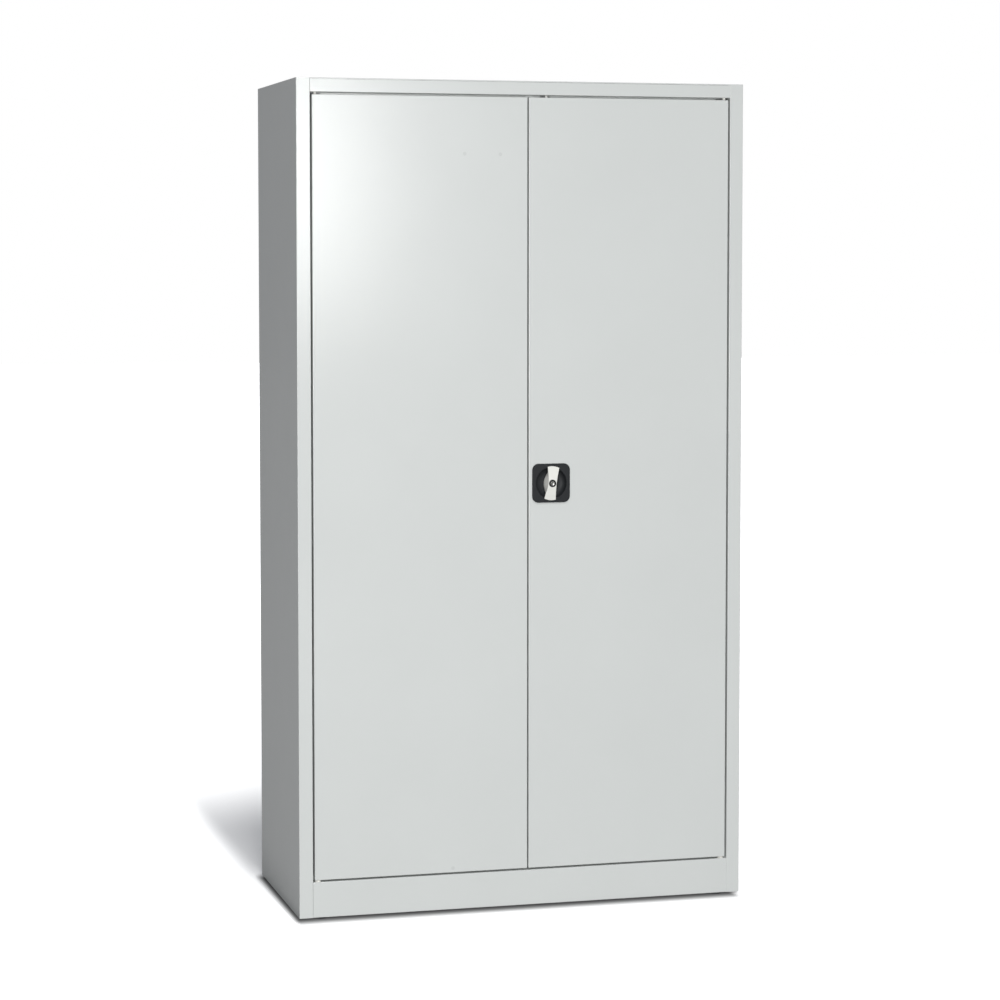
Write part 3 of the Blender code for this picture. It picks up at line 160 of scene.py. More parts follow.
past_base = add_node(tree, "ShaderNodeVectorMath", {0: past_base.outputs[0]}, operation="LENGTH")
painted_contact_shadow = add_node(tree, "ShaderNodeMapRange", {"Value": past_base.outputs["Value"],
                                                "To Min": painted_shade_under_base}, interpolation_type="SMOOTHSTEP")
# The painted contact shadow darkens the glow as well as the paper's colour.
painted_glow = add_node(tree, "ShaderNodeMath", {0: painted_glow.outputs[0], 1: painted_contact_shadow.outputs[0]}, operation="MULTIPLY")
paper_white = 1.5
paper_with_painted_shade = add_node(tree, "ShaderNodeVectorMath", {0: (paper_white,) * 3, "Scale": painted_contact_shadow.outputs[0]},
                       operation="SCALE")
lit = add_node(tree, "ShaderNodeBsdfDiffuse", {"Color": paper_with_painted_shade.outputs[0]})
painted_glow_emission = add_node(tree, "ShaderNodeEmission", {"Color": linear("#FFFFFF"), "Strength": painted_glow.outputs[0]})
shown = add_node(tree, "ShaderNodeAddShader", {0: lit.outputs[0], 1: painted_glow_emission.outputs[0]})
bounce = add_node(tree, "ShaderNodeBsdfDiffuse", {"Color": linear("#8C8C8C")})
both = add_node(tree, "ShaderNodeMixShader", {0: seen_as_white(tree), 1: bounce.outputs[0],
                                              2: shown.outputs[0]})
add_node(tree, "ShaderNodeOutputMaterial", {"Surface": both.outputs[0]})
floor_mesh.materials.append(paper)


def hang_lamp(name, kind, place, aim):
    """A lamp at one place, turned to another."""
    lamp = bpy.data.lights.new(name, kind)
    holder = bpy.data.objects.new(name, lamp)
    holder.location = place
    holder.rotation_euler = (Vector(aim) - Vector(place)).to_track_quat("-Z", "Y").to_euler()
    scene.collection.objects.link(holder)
    return lamp


camera_lamp = hang_lamp("camera_lamp", "AREA", (-2.0, -6.1, 1.0), (0, 0, 0.8))
camera_lamp.shape = "SQUARE"
camera_lamp.size = 1.6
camera_lamp.energy = 191
high_light = hang_lamp("high_light", "SUN", (0, -5, 6), (0, 0, 1))
high_light.energy = 1.0
high_light.angle = math.radians(20)
softbox = hang_lamp("tall_softbox", "AREA", (0.28, -4.6, 1.75), (0, 0, 1.3))
softbox.shape = "RECTANGLE"
softbox.size = 0.5
softbox.size_y = 0.95
softbox.energy = 30

# Body shell. Sides, top, back, floor and base are 1 mm cold-rolled steel, cut, folded and spot welded
# together. The whole body is then powder coated light grey, inside and out. The back, the floor panel and
# the rear rail are plain folded sheets, and keep their CAD shape.

# Polyester powder coat: semi-gloss, with a faint orange peel about 3 mm across, and clouds about 250 mm wide
# where the film is thicker.
powder_coat, tree = start_material("polyester_powder_coat")
place = add_node(tree, "ShaderNodeTexCoord")
cloud = add_node(tree, "ShaderNodeTexNoise", {"Vector": place.outputs["Object"], "Scale": 4.0, "Detail": 3.0})
coat_tint = add_node(tree, "ShaderNodeMixRGB", {"Fac": cloud.outputs[0], "Color1": linear("#CFD2D0"),
                                                "Color2": linear("#D4D7D5")})
peel = add_node(tree, "ShaderNodeTexNoise", {"Vector": place.outputs["Object"], "Scale": 330.0, "Detail": 2.0})
bump = add_node(tree, "ShaderNodeBump", {"Height": peel.outputs[0], "Strength": 0.6, "Distance": 0.00008})
gloss = add_node(tree, "ShaderNodeMapRange", {"Value": cloud.outputs[0], "To Min": 0.19, "To Max": 0.22})
coat = add_node(tree, "ShaderNodeBsdfPrincipled", {"Base Color": coat_tint.outputs[0],
                                                   "Roughness": gloss.outputs[0], "Normal": bump.outputs[0]})
add_node(tree, "ShaderNodeOutputMaterial", {"Surface": coat.outputs[0]})


def dress(material, *names):
    """Gives CAD nodes whose shape stays their finish."""
    for name in names:
        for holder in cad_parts[name].material_slots:
            holder.material = material


dress(powder_coat, "floor_panel", "back_panel", "rear_base_rail")

crease = math.radians(32)


def smooth(mesh):
    """Shades a mesh smooth except at its creases."""
    mesh.shade_smooth()
    mesh.set_sharp_from_angle(angle=crease)


def make_object(name, bm, material):
    """An object from a mesh that is a closed body."""
    bmesh.ops.recalc_face_normals(bm, faces=bm.faces)
    mesh = bpy.data.meshes.new(name)
    bm.to_mesh(mesh)
    bm.free()
    smooth(mesh)
    mesh.materials.append(material)
    made = bpy.data.objects.new(name, mesh)
    scene.collection.objects.link(made)
    return made


def settle(piece):
    """Leaves only the finished mesh of a piece's modifiers."""
    bpy.context.view_layer.update()
    mesh = bpy.data.meshes.new_from_object(piece.evaluated_get(bpy.context.evaluated_depsgraph_get()))
    piece.modifiers.clear()
    piece.data = mesh


def carve(piece, tool, operation="DIFFERENCE"):
    """Cuts tool out of piece, or joins it on. The new faces keep the tool's material."""
    change = piece.modifiers.new("carve", "BOOLEAN")
    change.operation = operation
    change.object = tool
    change.solver = "EXACT"
    change.material_mode = "TRANSFER"
    settle(piece)
    smooth(piece.data)
    bpy.data.objects.remove(tool)


def fit(piece, node, body):
    """Puts a finished piece in the place of its CAD node, riding on the node's body. Flat faces shade flat."""
    shading = piece.modifiers.new("shading", "WEIGHTED_NORMAL")
    shading.keep_sharp = True
    shading.weight = 100
    settle(piece)
    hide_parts(node)
    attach(piece, body)


def fold(bm, edges, run):
    """Draws edges of a sheet out along run, and gives back the new edges."""
    drawn = bmesh.ops.extrude_edge_only(bm, edges=edges)["geom"]
    corners = [item for item in drawn if isinstance(item, bmesh.types.BMVert)]
    bmesh.ops.translate(bm, verts=corners, vec=run)
    return [item for item in drawn if isinstance(item, bmesh.types.BMEdge) and set(item.verts) <= set(corners)]


def press(name, bm, outward, sheet=0.001, bend=0.0013):
    """Makes a sheet of an open surface: thickness behind its outer face, and rounded folds."""
    bmesh.ops.recalc_face_normals(bm, faces=bm.faces)
    if max(bm.faces, key=lambda face: face.calc_area()).normal.dot(Vector(outward)) < 0:
        bmesh.ops.reverse_faces(bm, faces=bm.faces)
    mesh = bpy.data.meshes.new(name)
    bm.to_mesh(mesh)
    bm.free()
    mesh.materials.append(powder_coat)
    made = bpy.data.objects.new(name, mesh)
    scene.collection.objects.link(made)
    bends = made.modifiers.new("bends", "BEVEL")
    bends.width = bend
    bends.segments = 5
    bends.angle_limit = math.radians(30)
    skin_of_sheet = made.modifiers.new("sheet", "SOLIDIFY")
    skin_of_sheet.thickness = sheet
    skin_of_sheet.offset = -1
    skin_of_sheet.use_even_offset = True
    settle(made)
    smooth(made.data)
    return made


def strip(name, outline, run, outward):
    """A strip of sheet: the open outline of its outer face, drawn out along run."""
    bm = bmesh.new()
    points = [bm.verts.new(point) for point in outline]
    fold(bm, [bm.edges.new(pair) for pair in zip(points, points[1:])], run)
    return press(name, bm, outward)


def block(low, high):
    """The mesh of a box between two corners."""
    low, high = Vector(low), Vector(high)
    bm = bmesh.new()
    bmesh.ops.create_cube(bm, size=1, matrix=Matrix.Translation((low + high) / 2)
                          @ Matrix.Diagonal((*(high - low), 1)))
    return bm


def punch(piece, low, high):
    """Cuts a square hole or notch."""
    carve(piece, make_object("punch", block(low, high), piece.data.materials[0]))


def drill(piece, middle, radius, way="Z", reach=0.004):
    """Cuts a round hole."""
    bm = bmesh.new()
    turn = Matrix.Rotation(math.pi / 2, 4, "X") if way == "Y" else Matrix()
    bmesh.ops.create_cone(bm, cap_ends=True, segments=48, radius1=radius, radius2=radius, depth=2 * reach,
                          matrix=Matrix.Translation(middle) @ turn)
    carve(piece, make_object("drill", bm, piece.data.materials[0]))


def middle_of(node):
    """The middle of a CAD node's box."""
    low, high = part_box(node)
    return (low + high) / 2


# Side panels. Each is folded in at the back, and round in front into the stile beside the doors, whose edge
# turns back and ends in a lip. The stile's inner folds stop just under the top sheet.
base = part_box("left_side_panel")[0].z
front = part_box("front_plinth")[0].y
stile = 0.03
stile_return = 0.02
stile_lip = 0.012
back_fold = 0.02
top_seat = 0.0013
overrun = 0.002
for side, word in ((-1, "left"), (1, "right")):
    node = word + "_side_panel"
    low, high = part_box(node)
    outer = side * max(abs(low.x), abs(high.x))
    inner = outer - side * stile
    behind = front + stile_return
    panel = strip(node + "_sheet", [
        (outer - side * back_fold, high.y, base), (outer, high.y, base), (outer, front, base),
        (inner, front, base), (inner, behind, base), (inner + side * stile_lip, behind, base)],
        (0, 0, high.z - base), (side, 0, 0))
    lip_end = inner + side * (stile_lip + overrun)
    punch(panel, (min(inner, lip_end) - overrun, front + overrun, high.z - top_seat),
          (max(inner, lip_end) + overrun, behind + overrun, high.z + overrun))
    fit(panel, node, "carcass")

# Top panel. It is folded down in front into the rail above the doors. The rail turns in under itself and
# ends in the flange that the doors' buffers meet, with notches beside the hinge pins and the rod. A seam
# shows along its top.
low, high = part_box("top_panel")
opening_top = 1.77
rail_gap = 0.00008
shoulder_bend = 0.0023
top_fold = 0.015
rail_return = 0.025
rail_flange = 0.015
half = outer - stile - rail_gap
shoulder = front + shoulder_bend
bm = bmesh.new()
points = [bm.verts.new((x, y, high.z)) for x, y in (
    (low.x, shoulder), (-half, shoulder), (half, shoulder), (high.x, shoulder), (high.x, high.y),
    (low.x, high.y))]
bm.faces.new(points)
edges = {frozenset(points.index(point) for point in edge.verts): edge for edge in bm.edges}
fold(bm, [edges[frozenset(pair)] for pair in ((3, 4), (4, 5), (5, 0))], (0, 0, -top_fold))
rail = [edges[frozenset((1, 2))]]
for run in ((0, front - shoulder, 0), (0, 0, opening_top - high.z), (0, rail_return, 0), (0, 0, -rail_flange)):
    rail = fold(bm, rail, run)
top = press("top_panel_sheet", bm, (0, 0, 1))
seam_end = 0.004
seam_low = 0.0029
seam_high = 0.0025
seam_depth = 0.002
punch(top, (-half + seam_end, front - seam_depth / 2, high.z - seam_low),
      (half - seam_end, front + seam_depth, high.z - seam_high))
pin_hole = 0.0048
rod_hole = 0.005
pin_notch = (0.0125, 0.0145)
rod_notch = (0.0105, 0.0105)
notch_front = 0.023
notch_back = 0.03
notch_low = 0.02
notch_high = 0.0015
for node, hole, (before, after) in (("left_upper_hinge_pin", pin_hole, pin_notch),
                                    ("right_upper_hinge_pin", pin_hole, pin_notch),
                                    ("upper_rod", rod_hole, rod_notch)):
    axis = middle_of(node)
    drill(top, (axis.x, axis.y, opening_top), hole)
    punch(top, (axis.x - before, front + notch_front, opening_top - notch_low),
          (axis.x + after, front + notch_back, opening_top - notch_high))
fit(top, "top_panel", "carcass")

# Plinth. A strip folded back at its foot, where the glides push in, and at its top under the doors.
# The lower hinge bushes sit in two holes in its top, and the lower rod runs into a third.
low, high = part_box("front_plinth")
plinth_foot = 0.025
glide_hole = 0.003
plinth = strip("front_plinth_sheet", [
    (-half, front + plinth_foot, low.z), (-half, front, low.z), (-half, front, high.z),
    (-half, high.y, high.z)], (2 * half, 0, 0), (0, -1, 0))
for node, height, hole in (
        ("left_lower_hinge_pin", high.z, pin_hole), ("front_left_glide", low.z, glide_hole),
        ("right_lower_hinge_pin", high.z, pin_hole), ("front_right_glide", low.z, glide_hole),
        ("lower_rod", high.z, rod_hole)):
    axis = middle_of(node)
    drill(plinth, (axis.x, axis.y, height), hole)
fit(plinth, "front_plinth", "carcass")

# Doors. Each is a shell folded from one sheet, its edges turned back and in again, with a hat-shaped
# stiffener spot welded behind its face. They are powder coated with the body. A few of the welds show
# faintly in front, as shallow dimples with painted shade in them.
dress(powder_coat, "left_door_stiffener", "right_door_stiffener")

# The coat in a spot weld's dimple: the same powder, painted a shade darker, as painted shade in the dimple.
painted_weld_shade_coat = powder_coat.copy()
painted_weld_shade_coat.name = "coat_with_painted_weld_shade"
for name, code in (("Color1", "#C7CAC8"), ("Color2", "#CCCFCD")):
    painted_weld_shade_coat.node_tree.nodes[coat_tint.name].inputs[name].default_value = linear(code)

door_lip = 0.025
door_bend = 0.0015
door_hole = 0.0033
lock_hole = 0.0358
lock_axis = middle_of("handle_spindle")
lock_axis.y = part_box("right_door_shell")[0].y
weld_marks = ((-0.1327, 1.6425), (-0.0533, 1.6419), (-0.1602, 0.0939))
weld_depth = 0.0004
weld_sunk_share = 0.4
weld_radius = 0.0042
weld_floor_radius = 0.003
for side, word in ((-1, "left"), (1, "right")):
    node = word + "_door_shell"
    low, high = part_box(node)
    bm = block(low, high)
    bm.normal_update()
    back = max(bm.faces, key=lambda face: face.normal.y)
    bmesh.ops.inset_region(bm, faces=[back], thickness=door_lip, use_even_offset=True)
    bmesh.ops.delete(bm, geom=[back], context="FACES")
    shell = press(node + "_sheet", bm, (0, -1, 0), bend=door_bend)
    for end, height in (("upper", high.z), ("lower", low.z)):
        for name in [word + "_" + end + "_hinge_pin"] + ([end + "_rod"] if side > 0 else []):
            axis = middle_of(name)
            drill(shell, (axis.x, axis.y, height), door_hole)
    if side > 0:
        drill(shell, lock_axis, lock_hole, "Y")
    # Shallow weld dimples, their faces in the coat with painted shade.
    for x, z in weld_marks if side < 0 else ():
        bm = bmesh.new()
        bmesh.ops.create_cone(bm, cap_ends=True, segments=40, radius1=weld_radius, radius2=weld_floor_radius,
                              depth=weld_depth,
                              matrix=Matrix.Translation((x, low.y + weld_sunk_share * weld_depth, z))
                              @ Matrix.Rotation(-math.pi / 2, 4, "X"))
        carve(shell, make_object("weld", bm, painted_weld_shade_coat))
    fit(shell, node, word + "_door")

# Handle escutcheon. A square plate with a round bowl, moulded in charcoal ABS and pressed into the door's
# hole. Two bosses behind the bowl take the screws of the lock case.

# Charcoal ABS: the mould's spark-eroded grain, about 0.4 mm, softens its shine to a dull satin.
charcoal_abs, tree = start_material("charcoal_abs")
place = add_node(tree, "ShaderNodeTexCoord")
grain = add_node(tree, "ShaderNodeTexNoise", {"Vector": place.outputs["Object"], "Scale": 2500.0,
                                              "Detail": 2.0})
tint = add_node(tree, "ShaderNodeMixRGB", {"Fac": grain.outputs[0], "Color1": linear("#1F2123"),
                                           "Color2": linear("#292B2D")})
bump = add_node(tree, "ShaderNodeBump", {"Height": grain.outputs[0], "Strength": 0.5, "Distance": 0.00006})
gloss = add_node(tree, "ShaderNodeMapRange", {"Value": grain.outputs[0], "To Min": 0.42, "To Max": 0.52})
plastic = add_node(tree, "ShaderNodeBsdfPrincipled", {"Base Color": tint.outputs[0], "Specular IOR Level": 0.2,
                                                      "Roughness": gloss.outputs[0], "Normal": bump.outputs[0]})
add_node(tree, "ShaderNodeOutputMaterial", {"Surface": plastic.outputs[0]})

plate_half = 0.0425
plate_corner = 0.014
plate_front = -0.004
plate_back = -0.0003
plate_edge = 0.0015
bowl_rim = 0.0345
bowl_rim_round = 0.0008
bowl_floor_rim = 0.0205
bowl_floor = 0.008
bowl_wall_out = 0.0355
bowl_wall_start = 0.001
bowl_behind = 0.0098
neck_hole = 0.0103


def on_square(angle, half, corner):
    """How far out a rounded square's outline lies in this direction."""
    wide, narrow = sorted((abs(math.cos(angle)), abs(math.sin(angle))), reverse=True)
    flat = half - corner
    reach = half / wide
    if reach * narrow <= flat:
        return reach
    along = flat * (wide + narrow)
    return along + math.sqrt(along ** 2 - 2 * flat ** 2 + corner ** 2)


def fan(steps):
    """Angles once round, evenly spaced."""
    return [2 * math.pi * step / steps for step in range(steps)]


def sweep(steps, start=0.0, end=math.pi / 2):
    """Angles from start to end, both included, evenly spaced."""
    return [start + (end - start) * step / steps for step in range(steps + 1)]


def round_loop(radius, depth, steps=160):
    """A circle round the lock's axis, as (x, z, depth) points."""
    return [(radius * math.cos(angle), radius * math.sin(angle), depth) for angle in fan(steps)]


def square_loop(inset, depth, steps=160):
    """The plate's outline moved in by inset, as (x, z, depth) points."""
    half = plate_half - inset
    corner = plate_corner - inset
    loop = []
    for angle in fan(steps):
        reach = on_square(angle, half, corner)
        loop.append((reach * math.cos(angle), reach * math.sin(angle), depth))
    return loop


def skin(bm, loops, closed=False):
    """Bands of faces between loops of (x, z, depth) points round the lock's axis. Open ends get caps."""
    rows = [[bm.verts.new((lock_axis.x + x, lock_axis.y + depth, lock_axis.z + z)) for x, z, depth in loop]
            for loop in loops]
    for row, following in zip(rows, rows[1:] + (rows[:1] if closed else [])):
        for index in range(len(row)):
            beside = (index + 1) % len(row)
            bm.faces.new((row[index], row[beside], following[beside], following[index]))
    if not closed:
        bm.faces.new(rows[0])
        bm.faces.new(rows[-1])


loops = [round_loop(neck_hole, bowl_floor)]
for angle in sweep(12, math.pi / 2, 0):
    out = bowl_floor_rim + (bowl_rim - bowl_floor_rim) * math.cos(angle)
    rim = plate_front + bowl_rim_round
    loops.append(round_loop(out, rim + (bowl_floor - rim) * math.sin(angle)))
for angle in sweep(4)[1:]:
    out = bowl_rim + bowl_rim_round * (1 - math.cos(angle))
    loops.append(round_loop(out, plate_front + bowl_rim_round * (1 - math.sin(angle))))
loops += [square_loop(plate_edge * (1 - math.sin(angle)), plate_front + plate_edge * (1 - math.cos(angle)))
          for angle in sweep(5)]
loops += [square_loop(0, plate_back), round_loop(bowl_wall_out, plate_back)]
for angle in sweep(10):
    out = bowl_floor_rim + (bowl_wall_out - bowl_floor_rim) * math.cos(angle)
    loops.append(round_loop(out, bowl_wall_start + (bowl_behind - bowl_wall_start) * math.sin(angle)))
loops.append(round_loop(neck_hole, bowl_behind))
bm = bmesh.new()
skin(bm, loops, closed=True)
escutcheon = make_object("escutcheon_moulding", bm, charcoal_abs)
boss_place = 0.02
boss_rings = ((0.004, 0.0086), (0.004, 0.0172), (0.0036, 0.0175), (0.002, 0.0175), (0.002, 0.0086))
for side in (-1, 1):
    bm = bmesh.new()
    skin(bm, [[(x + side * boss_place, z, d) for x, z, d in round_loop(radius, depth, 32)]
              for radius, depth in boss_rings], closed=True)
    carve(escutcheon, make_object("boss", bm, charcoal_abs), "UNION")
fit(escutcheon, "handle_escutcheon", "right_door")

# Grip. A bow-tie bar on an oval pedestal, moulded in one piece in off-white ABS, with its neck through the
# bowl. It is bored from the front for the key cylinder, and its neck has a square socket for the spindle.

# Off-white ABS: from a polished mould, so without grain, with faint swirls about 11 mm wide.
white_abs, tree = start_material("off_white_abs")
place = add_node(tree, "ShaderNodeTexCoord")
swirl = add_node(tree, "ShaderNodeTexNoise", {"Vector": place.outputs["Object"], "Scale": 90.0, "Detail": 2.0})
tint = add_node(tree, "ShaderNodeMixRGB", {"Fac": swirl.outputs[0], "Color1": linear("#E2E2DC"),
                                           "Color2": linear("#E8E8E2")})
gloss = add_node(tree, "ShaderNodeMapRange", {"Value": swirl.outputs[0], "To Min": 0.28, "To Max": 0.36})
plastic = add_node(tree, "ShaderNodeBsdfPrincipled", {"Base Color": tint.outputs[0], "IOR": 1.53,
                                                      "Roughness": gloss.outputs[0]})
add_node(tree, "ShaderNodeOutputMaterial", {"Surface": plastic.outputs[0]})

grip_tilt = math.radians(6.5)
grip_reach = 0.0371
grip_half_end = 0.0131
grip_half_waist = 0.0093
flank_power = 1.5
grip_front = -0.0145
grip_back = -0.0075
grip_edge = 0.0009
grip_back_edge = 0.0006
front_arch = 0.0065
back_arch = 0.0029
crown = 0.008
pedestal_rings = ((0.0086, 0.012, -0.0132), (0.0104, 0.0295, -0.007), (0.0121, 0.0295, -0.001),
                  (0.0131, 0.0288, 0.004), (0.0135, 0.0265, 0.006), (0.0137, 0.0225, 0.0077))
neck_radius = 0.01
neck_start = 0.004
barrel_hole = 0.0083
barrel_hole_ends = (-0.018, 0.0008)
socket_half = 0.0038
socket_ends = (-0.001, 0.011)


def lean(x, z):
    """Turns a point by the small angle at which the grip stands."""
    return x * math.cos(grip_tilt) + z * math.sin(grip_tilt), z * math.cos(grip_tilt) - x * math.sin(grip_tilt)


def bow_tie(end_steps=14, flank_steps=32):
    """Outline of the bar: two arcs on one circle, joined by flanks drawn in to the waist, corners rounded."""
    spread = math.asin(grip_half_end / grip_reach)
    high = grip_reach * math.cos(spread)
    half = [(grip_reach * math.cos(angle), grip_reach * math.sin(angle))
            for angle in sweep(end_steps, math.pi / 2 - spread, math.pi / 2 + spread)]
    for step in range(1, flank_steps):
        height = 1 - 2 * step / flank_steps
        flare = (grip_half_end - grip_half_waist) * abs(height) ** flank_power
        half.append((-grip_half_waist - flare, high * height))
    points = half + [(-x, -z) for x, z in half]
    for round_off in range(2):
        cut = []
        for (x, z), (next_x, next_z) in zip(points, points[1:] + points[:1]):
            cut += [(share * x + (1 - share) * next_x, share * z + (1 - share) * next_z)
                    for share in (0.75, 0.25)]
        points = cut
    return points


def drawn_in(points, inset, depth):
    """An outline moved inward by inset and leant to the grip's angle, as a loop at this depth."""
    loop = []
    for index, (x, z) in enumerate(points):
        before = points[index - 1]
        after = points[(index + 1) % len(points)]
        along = Vector((after[0] - before[0], after[1] - before[1])).normalized()
        loop.append((*lean(x - along.y * inset, z + along.x * inset), depth))
    return loop


outline = bow_tie()
loops = [drawn_in(outline, grip_edge * (1 - math.sin(angle)), grip_front + grip_edge * (1 - math.cos(angle)))
         for angle in sweep(6)]
loops += [drawn_in(outline, grip_back_edge * (1 - math.cos(angle)),
                   grip_back - grip_back_edge * (1 - math.sin(angle))) for angle in sweep(3)]
bm = bmesh.new()
skin(bm, loops)
# The bar stands out furthest in its middle and falls back evenly to its ends, so it is cut across and bent.
bar_way = Vector((math.sin(grip_tilt), 0, math.cos(grip_tilt)))
cuts = 12
for step in range(1 - cuts, cuts):
    bmesh.ops.bisect_plane(bm, geom=bm.verts[:] + bm.edges[:] + bm.faces[:], plane_no=bar_way,
                           plane_co=lock_axis + bar_way * grip_reach * step / cuts)
for vert in bm.verts:
    spot = vert.co - lock_axis
    behind_front = (spot.y - grip_front) / (grip_back - grip_front)
    arch = front_arch + (back_arch - front_arch) * behind_front
    vert.co.y += arch * (math.hypot(spot.dot(bar_way), crown) - crown) / (math.hypot(grip_reach, crown) - crown)
grip = make_object("turning_grip", bm, white_abs)
oval = [(math.cos(angle), math.sin(angle)) for angle in fan(72)]
bm = bmesh.new()
skin(bm, [[(*lean(x * half_width, z * half_length), depth) for x, z in oval]
          for half_width, half_length, depth in pedestal_rings])
carve(grip, make_object("pedestal", bm, white_abs), "UNION")
bm = bmesh.new()
skin(bm, [round_loop(neck_radius, depth, 64) for depth in (neck_start, bowl_behind)])
carve(grip, make_object("neck", bm, white_abs), "UNION")
bm = bmesh.new()
skin(bm, [round_loop(barrel_hole, depth, 64) for depth in barrel_hole_ends])
carve(grip, make_object("barrel_bore", bm, white_abs))
bm = bmesh.new()
skin(bm, [[(x * socket_half, z * socket_half, depth) for x, z in ((1, 1), (-1, 1), (-1, -1), (1, -1))]
          for depth in socket_ends])
carve(grip, make_object("spindle_socket", bm, white_abs))
fit(grip, "handle_grip", "handle")

# Key cylinder. A zinc die-cast barrel with a black finish, pressed into the grip, and a nickel-plated brass
# core. The core's face is dished round its keyway; the key turns it a quarter turn.

# Black-lacquered zinc: smooth, with a low shine and faint clouds 2.5 mm across.
black_zinc, tree = start_material("black_lacquered_zinc")
place = add_node(tree, "ShaderNodeTexCoord")
cloud = add_node(tree, "ShaderNodeTexNoise", {"Vector": place.outputs["Object"], "Scale": 400.0, "Detail": 2.0})
tint = add_node(tree, "ShaderNodeMixRGB", {"Fac": cloud.outputs[0], "Color1": linear("#08090A"),
                                           "Color2": linear("#0E0F10")})
lacquer = add_node(tree, "ShaderNodeBsdfPrincipled", {"Base Color": tint.outputs[0], "Roughness": 0.4,
                                                      "Specular IOR Level": 0.3})
add_node(tree, "ShaderNodeOutputMaterial", {"Surface": lacquer.outputs[0]})

# Nickel-plated brass: bright and slightly warm, with the rings that facing it in a lathe leaves. The real
# ones are finer than 0.1 mm and are drawn at 0.17 mm, so that they show in a close view.
nickel, tree = start_material("nickel_plated_brass")
place = add_node(tree, "ShaderNodeTexCoord")
centred = add_node(tree, "ShaderNodeVectorMath", {0: place.outputs["Object"], 1: lock_axis},
                   operation="SUBTRACT")
flat = add_node(tree, "ShaderNodeVectorMath", {0: centred.outputs[0], 1: (1, 0, 1)}, operation="MULTIPLY")
radius = add_node(tree, "ShaderNodeVectorMath", {0: flat.outputs[0]}, operation="LENGTH")
rings = add_node(tree, "ShaderNodeTexNoise", {"W": radius.outputs["Value"], "Scale": 6000.0, "Detail": 2.0},
                 noise_dimensions="1D")
bump = add_node(tree, "ShaderNodeBump", {"Height": rings.outputs[0], "Strength": 0.4, "Distance": 0.00002})
tint = add_node(tree, "ShaderNodeMixRGB", {"Fac": rings.outputs[0], "Color1": linear("#8F8F8D"),
                                           "Color2": linear("#ACACA9")})
plate = add_node(tree, "ShaderNodeBsdfPrincipled", {"Base Color": tint.outputs[0], "Metallic": 1.0,
                                                    "Roughness": 0.24, "Normal": bump.outputs[0]})
add_node(tree, "ShaderNodeOutputMaterial", {"Surface": plate.outputs[0]})

barrel_face = -0.015
barrel_end = 0.0005
barrel_radius = 0.008
barrel_round = 0.0008
barrel_bore = 0.0063
barrel_mouth = 0.0048
mouth_depth = 0.0006
lip_rings = ((0.0049, 0.0003), (0.0053, 0.0))
section = [(barrel_bore, barrel_end), (barrel_bore, barrel_face + mouth_depth),
           (barrel_mouth, barrel_face + mouth_depth)]
section += [(radius, barrel_face + depth) for radius, depth in lip_rings]
section += [(barrel_radius - barrel_round * (1 - math.sin(angle)),
             barrel_face + barrel_round * (1 - math.cos(angle))) for angle in sweep(5)]
section.append((barrel_radius, barrel_end))
bm = bmesh.new()
skin(bm, [round_loop(radius, depth, 64) for radius, depth in section], closed=True)
fit(make_object("cylinder_barrel", bm, black_zinc), "lock_barrel", "handle")

core_face = -0.0142
core_radius = 0.006
dish_radius = 0.0046
dish_floor_radius = 0.0006
dish_depth = 0.0007
keyway_half_width = 0.001
keyway_half_height = 0.0037
keyway_depth = 0.011
bm = bmesh.new()
skin(bm, [round_loop(radius, depth, 64) for radius, depth in
          ((dish_floor_radius, core_face + dish_depth), (dish_radius, core_face), (core_radius, core_face),
           (core_radius, barrel_end))])
core = make_object("key_core", bm, nickel)
arc = [(keyway_half_width * math.cos(angle),
        keyway_half_height - keyway_half_width + keyway_half_width * math.sin(angle))
       for angle in sweep(8, 0, math.pi)]
keyway = [lean(x, z) for x, z in arc + [(-x, -z) for x, z in arc]]
bm = bmesh.new()
skin(bm, [[(x, z, depth) for x, z in keyway] for depth in (core_face - overrun, core_face + keyway_depth)])
carve(core, make_object("keyway", bm, nickel))
fit(core, "lock_core", "lock_core")

# Bushes and guides. Natural nylon, injection moulded. The hinge bushes and the spindle's bush snap into
# their holes, and the rod guides are riveted behind the door.

# Natural nylon: milky white, a little warm, with a soft low shine and clouds 4 mm across.
nylon, tree = start_material("natural_nylon")
place = add_node(tree, "ShaderNodeTexCoord")
cloud = add_node(tree, "ShaderNodeTexNoise", {"Vector": place.outputs["Object"], "Scale": 250.0, "Detail": 2.0})
tint = add_node(tree, "ShaderNodeMixRGB", {"Fac": cloud.outputs[0], "Color1": linear("#E9E8E1"),
                                           "Color2": linear("#F4F3EE")})
moulded = add_node(tree, "ShaderNodeBsdfPrincipled", {"Base Color": tint.outputs[0], "Roughness": 0.45})
add_node(tree, "ShaderNodeOutputMaterial", {"Surface": moulded.outputs[0]})
dress(nylon, *[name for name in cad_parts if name.endswith(("bush", "guide"))])

# Lock works. The spindle, gear, racks, case, tongue and strike are zinc-plated steel, stamped and turned.
# They are screwed or pressed together behind the handle.

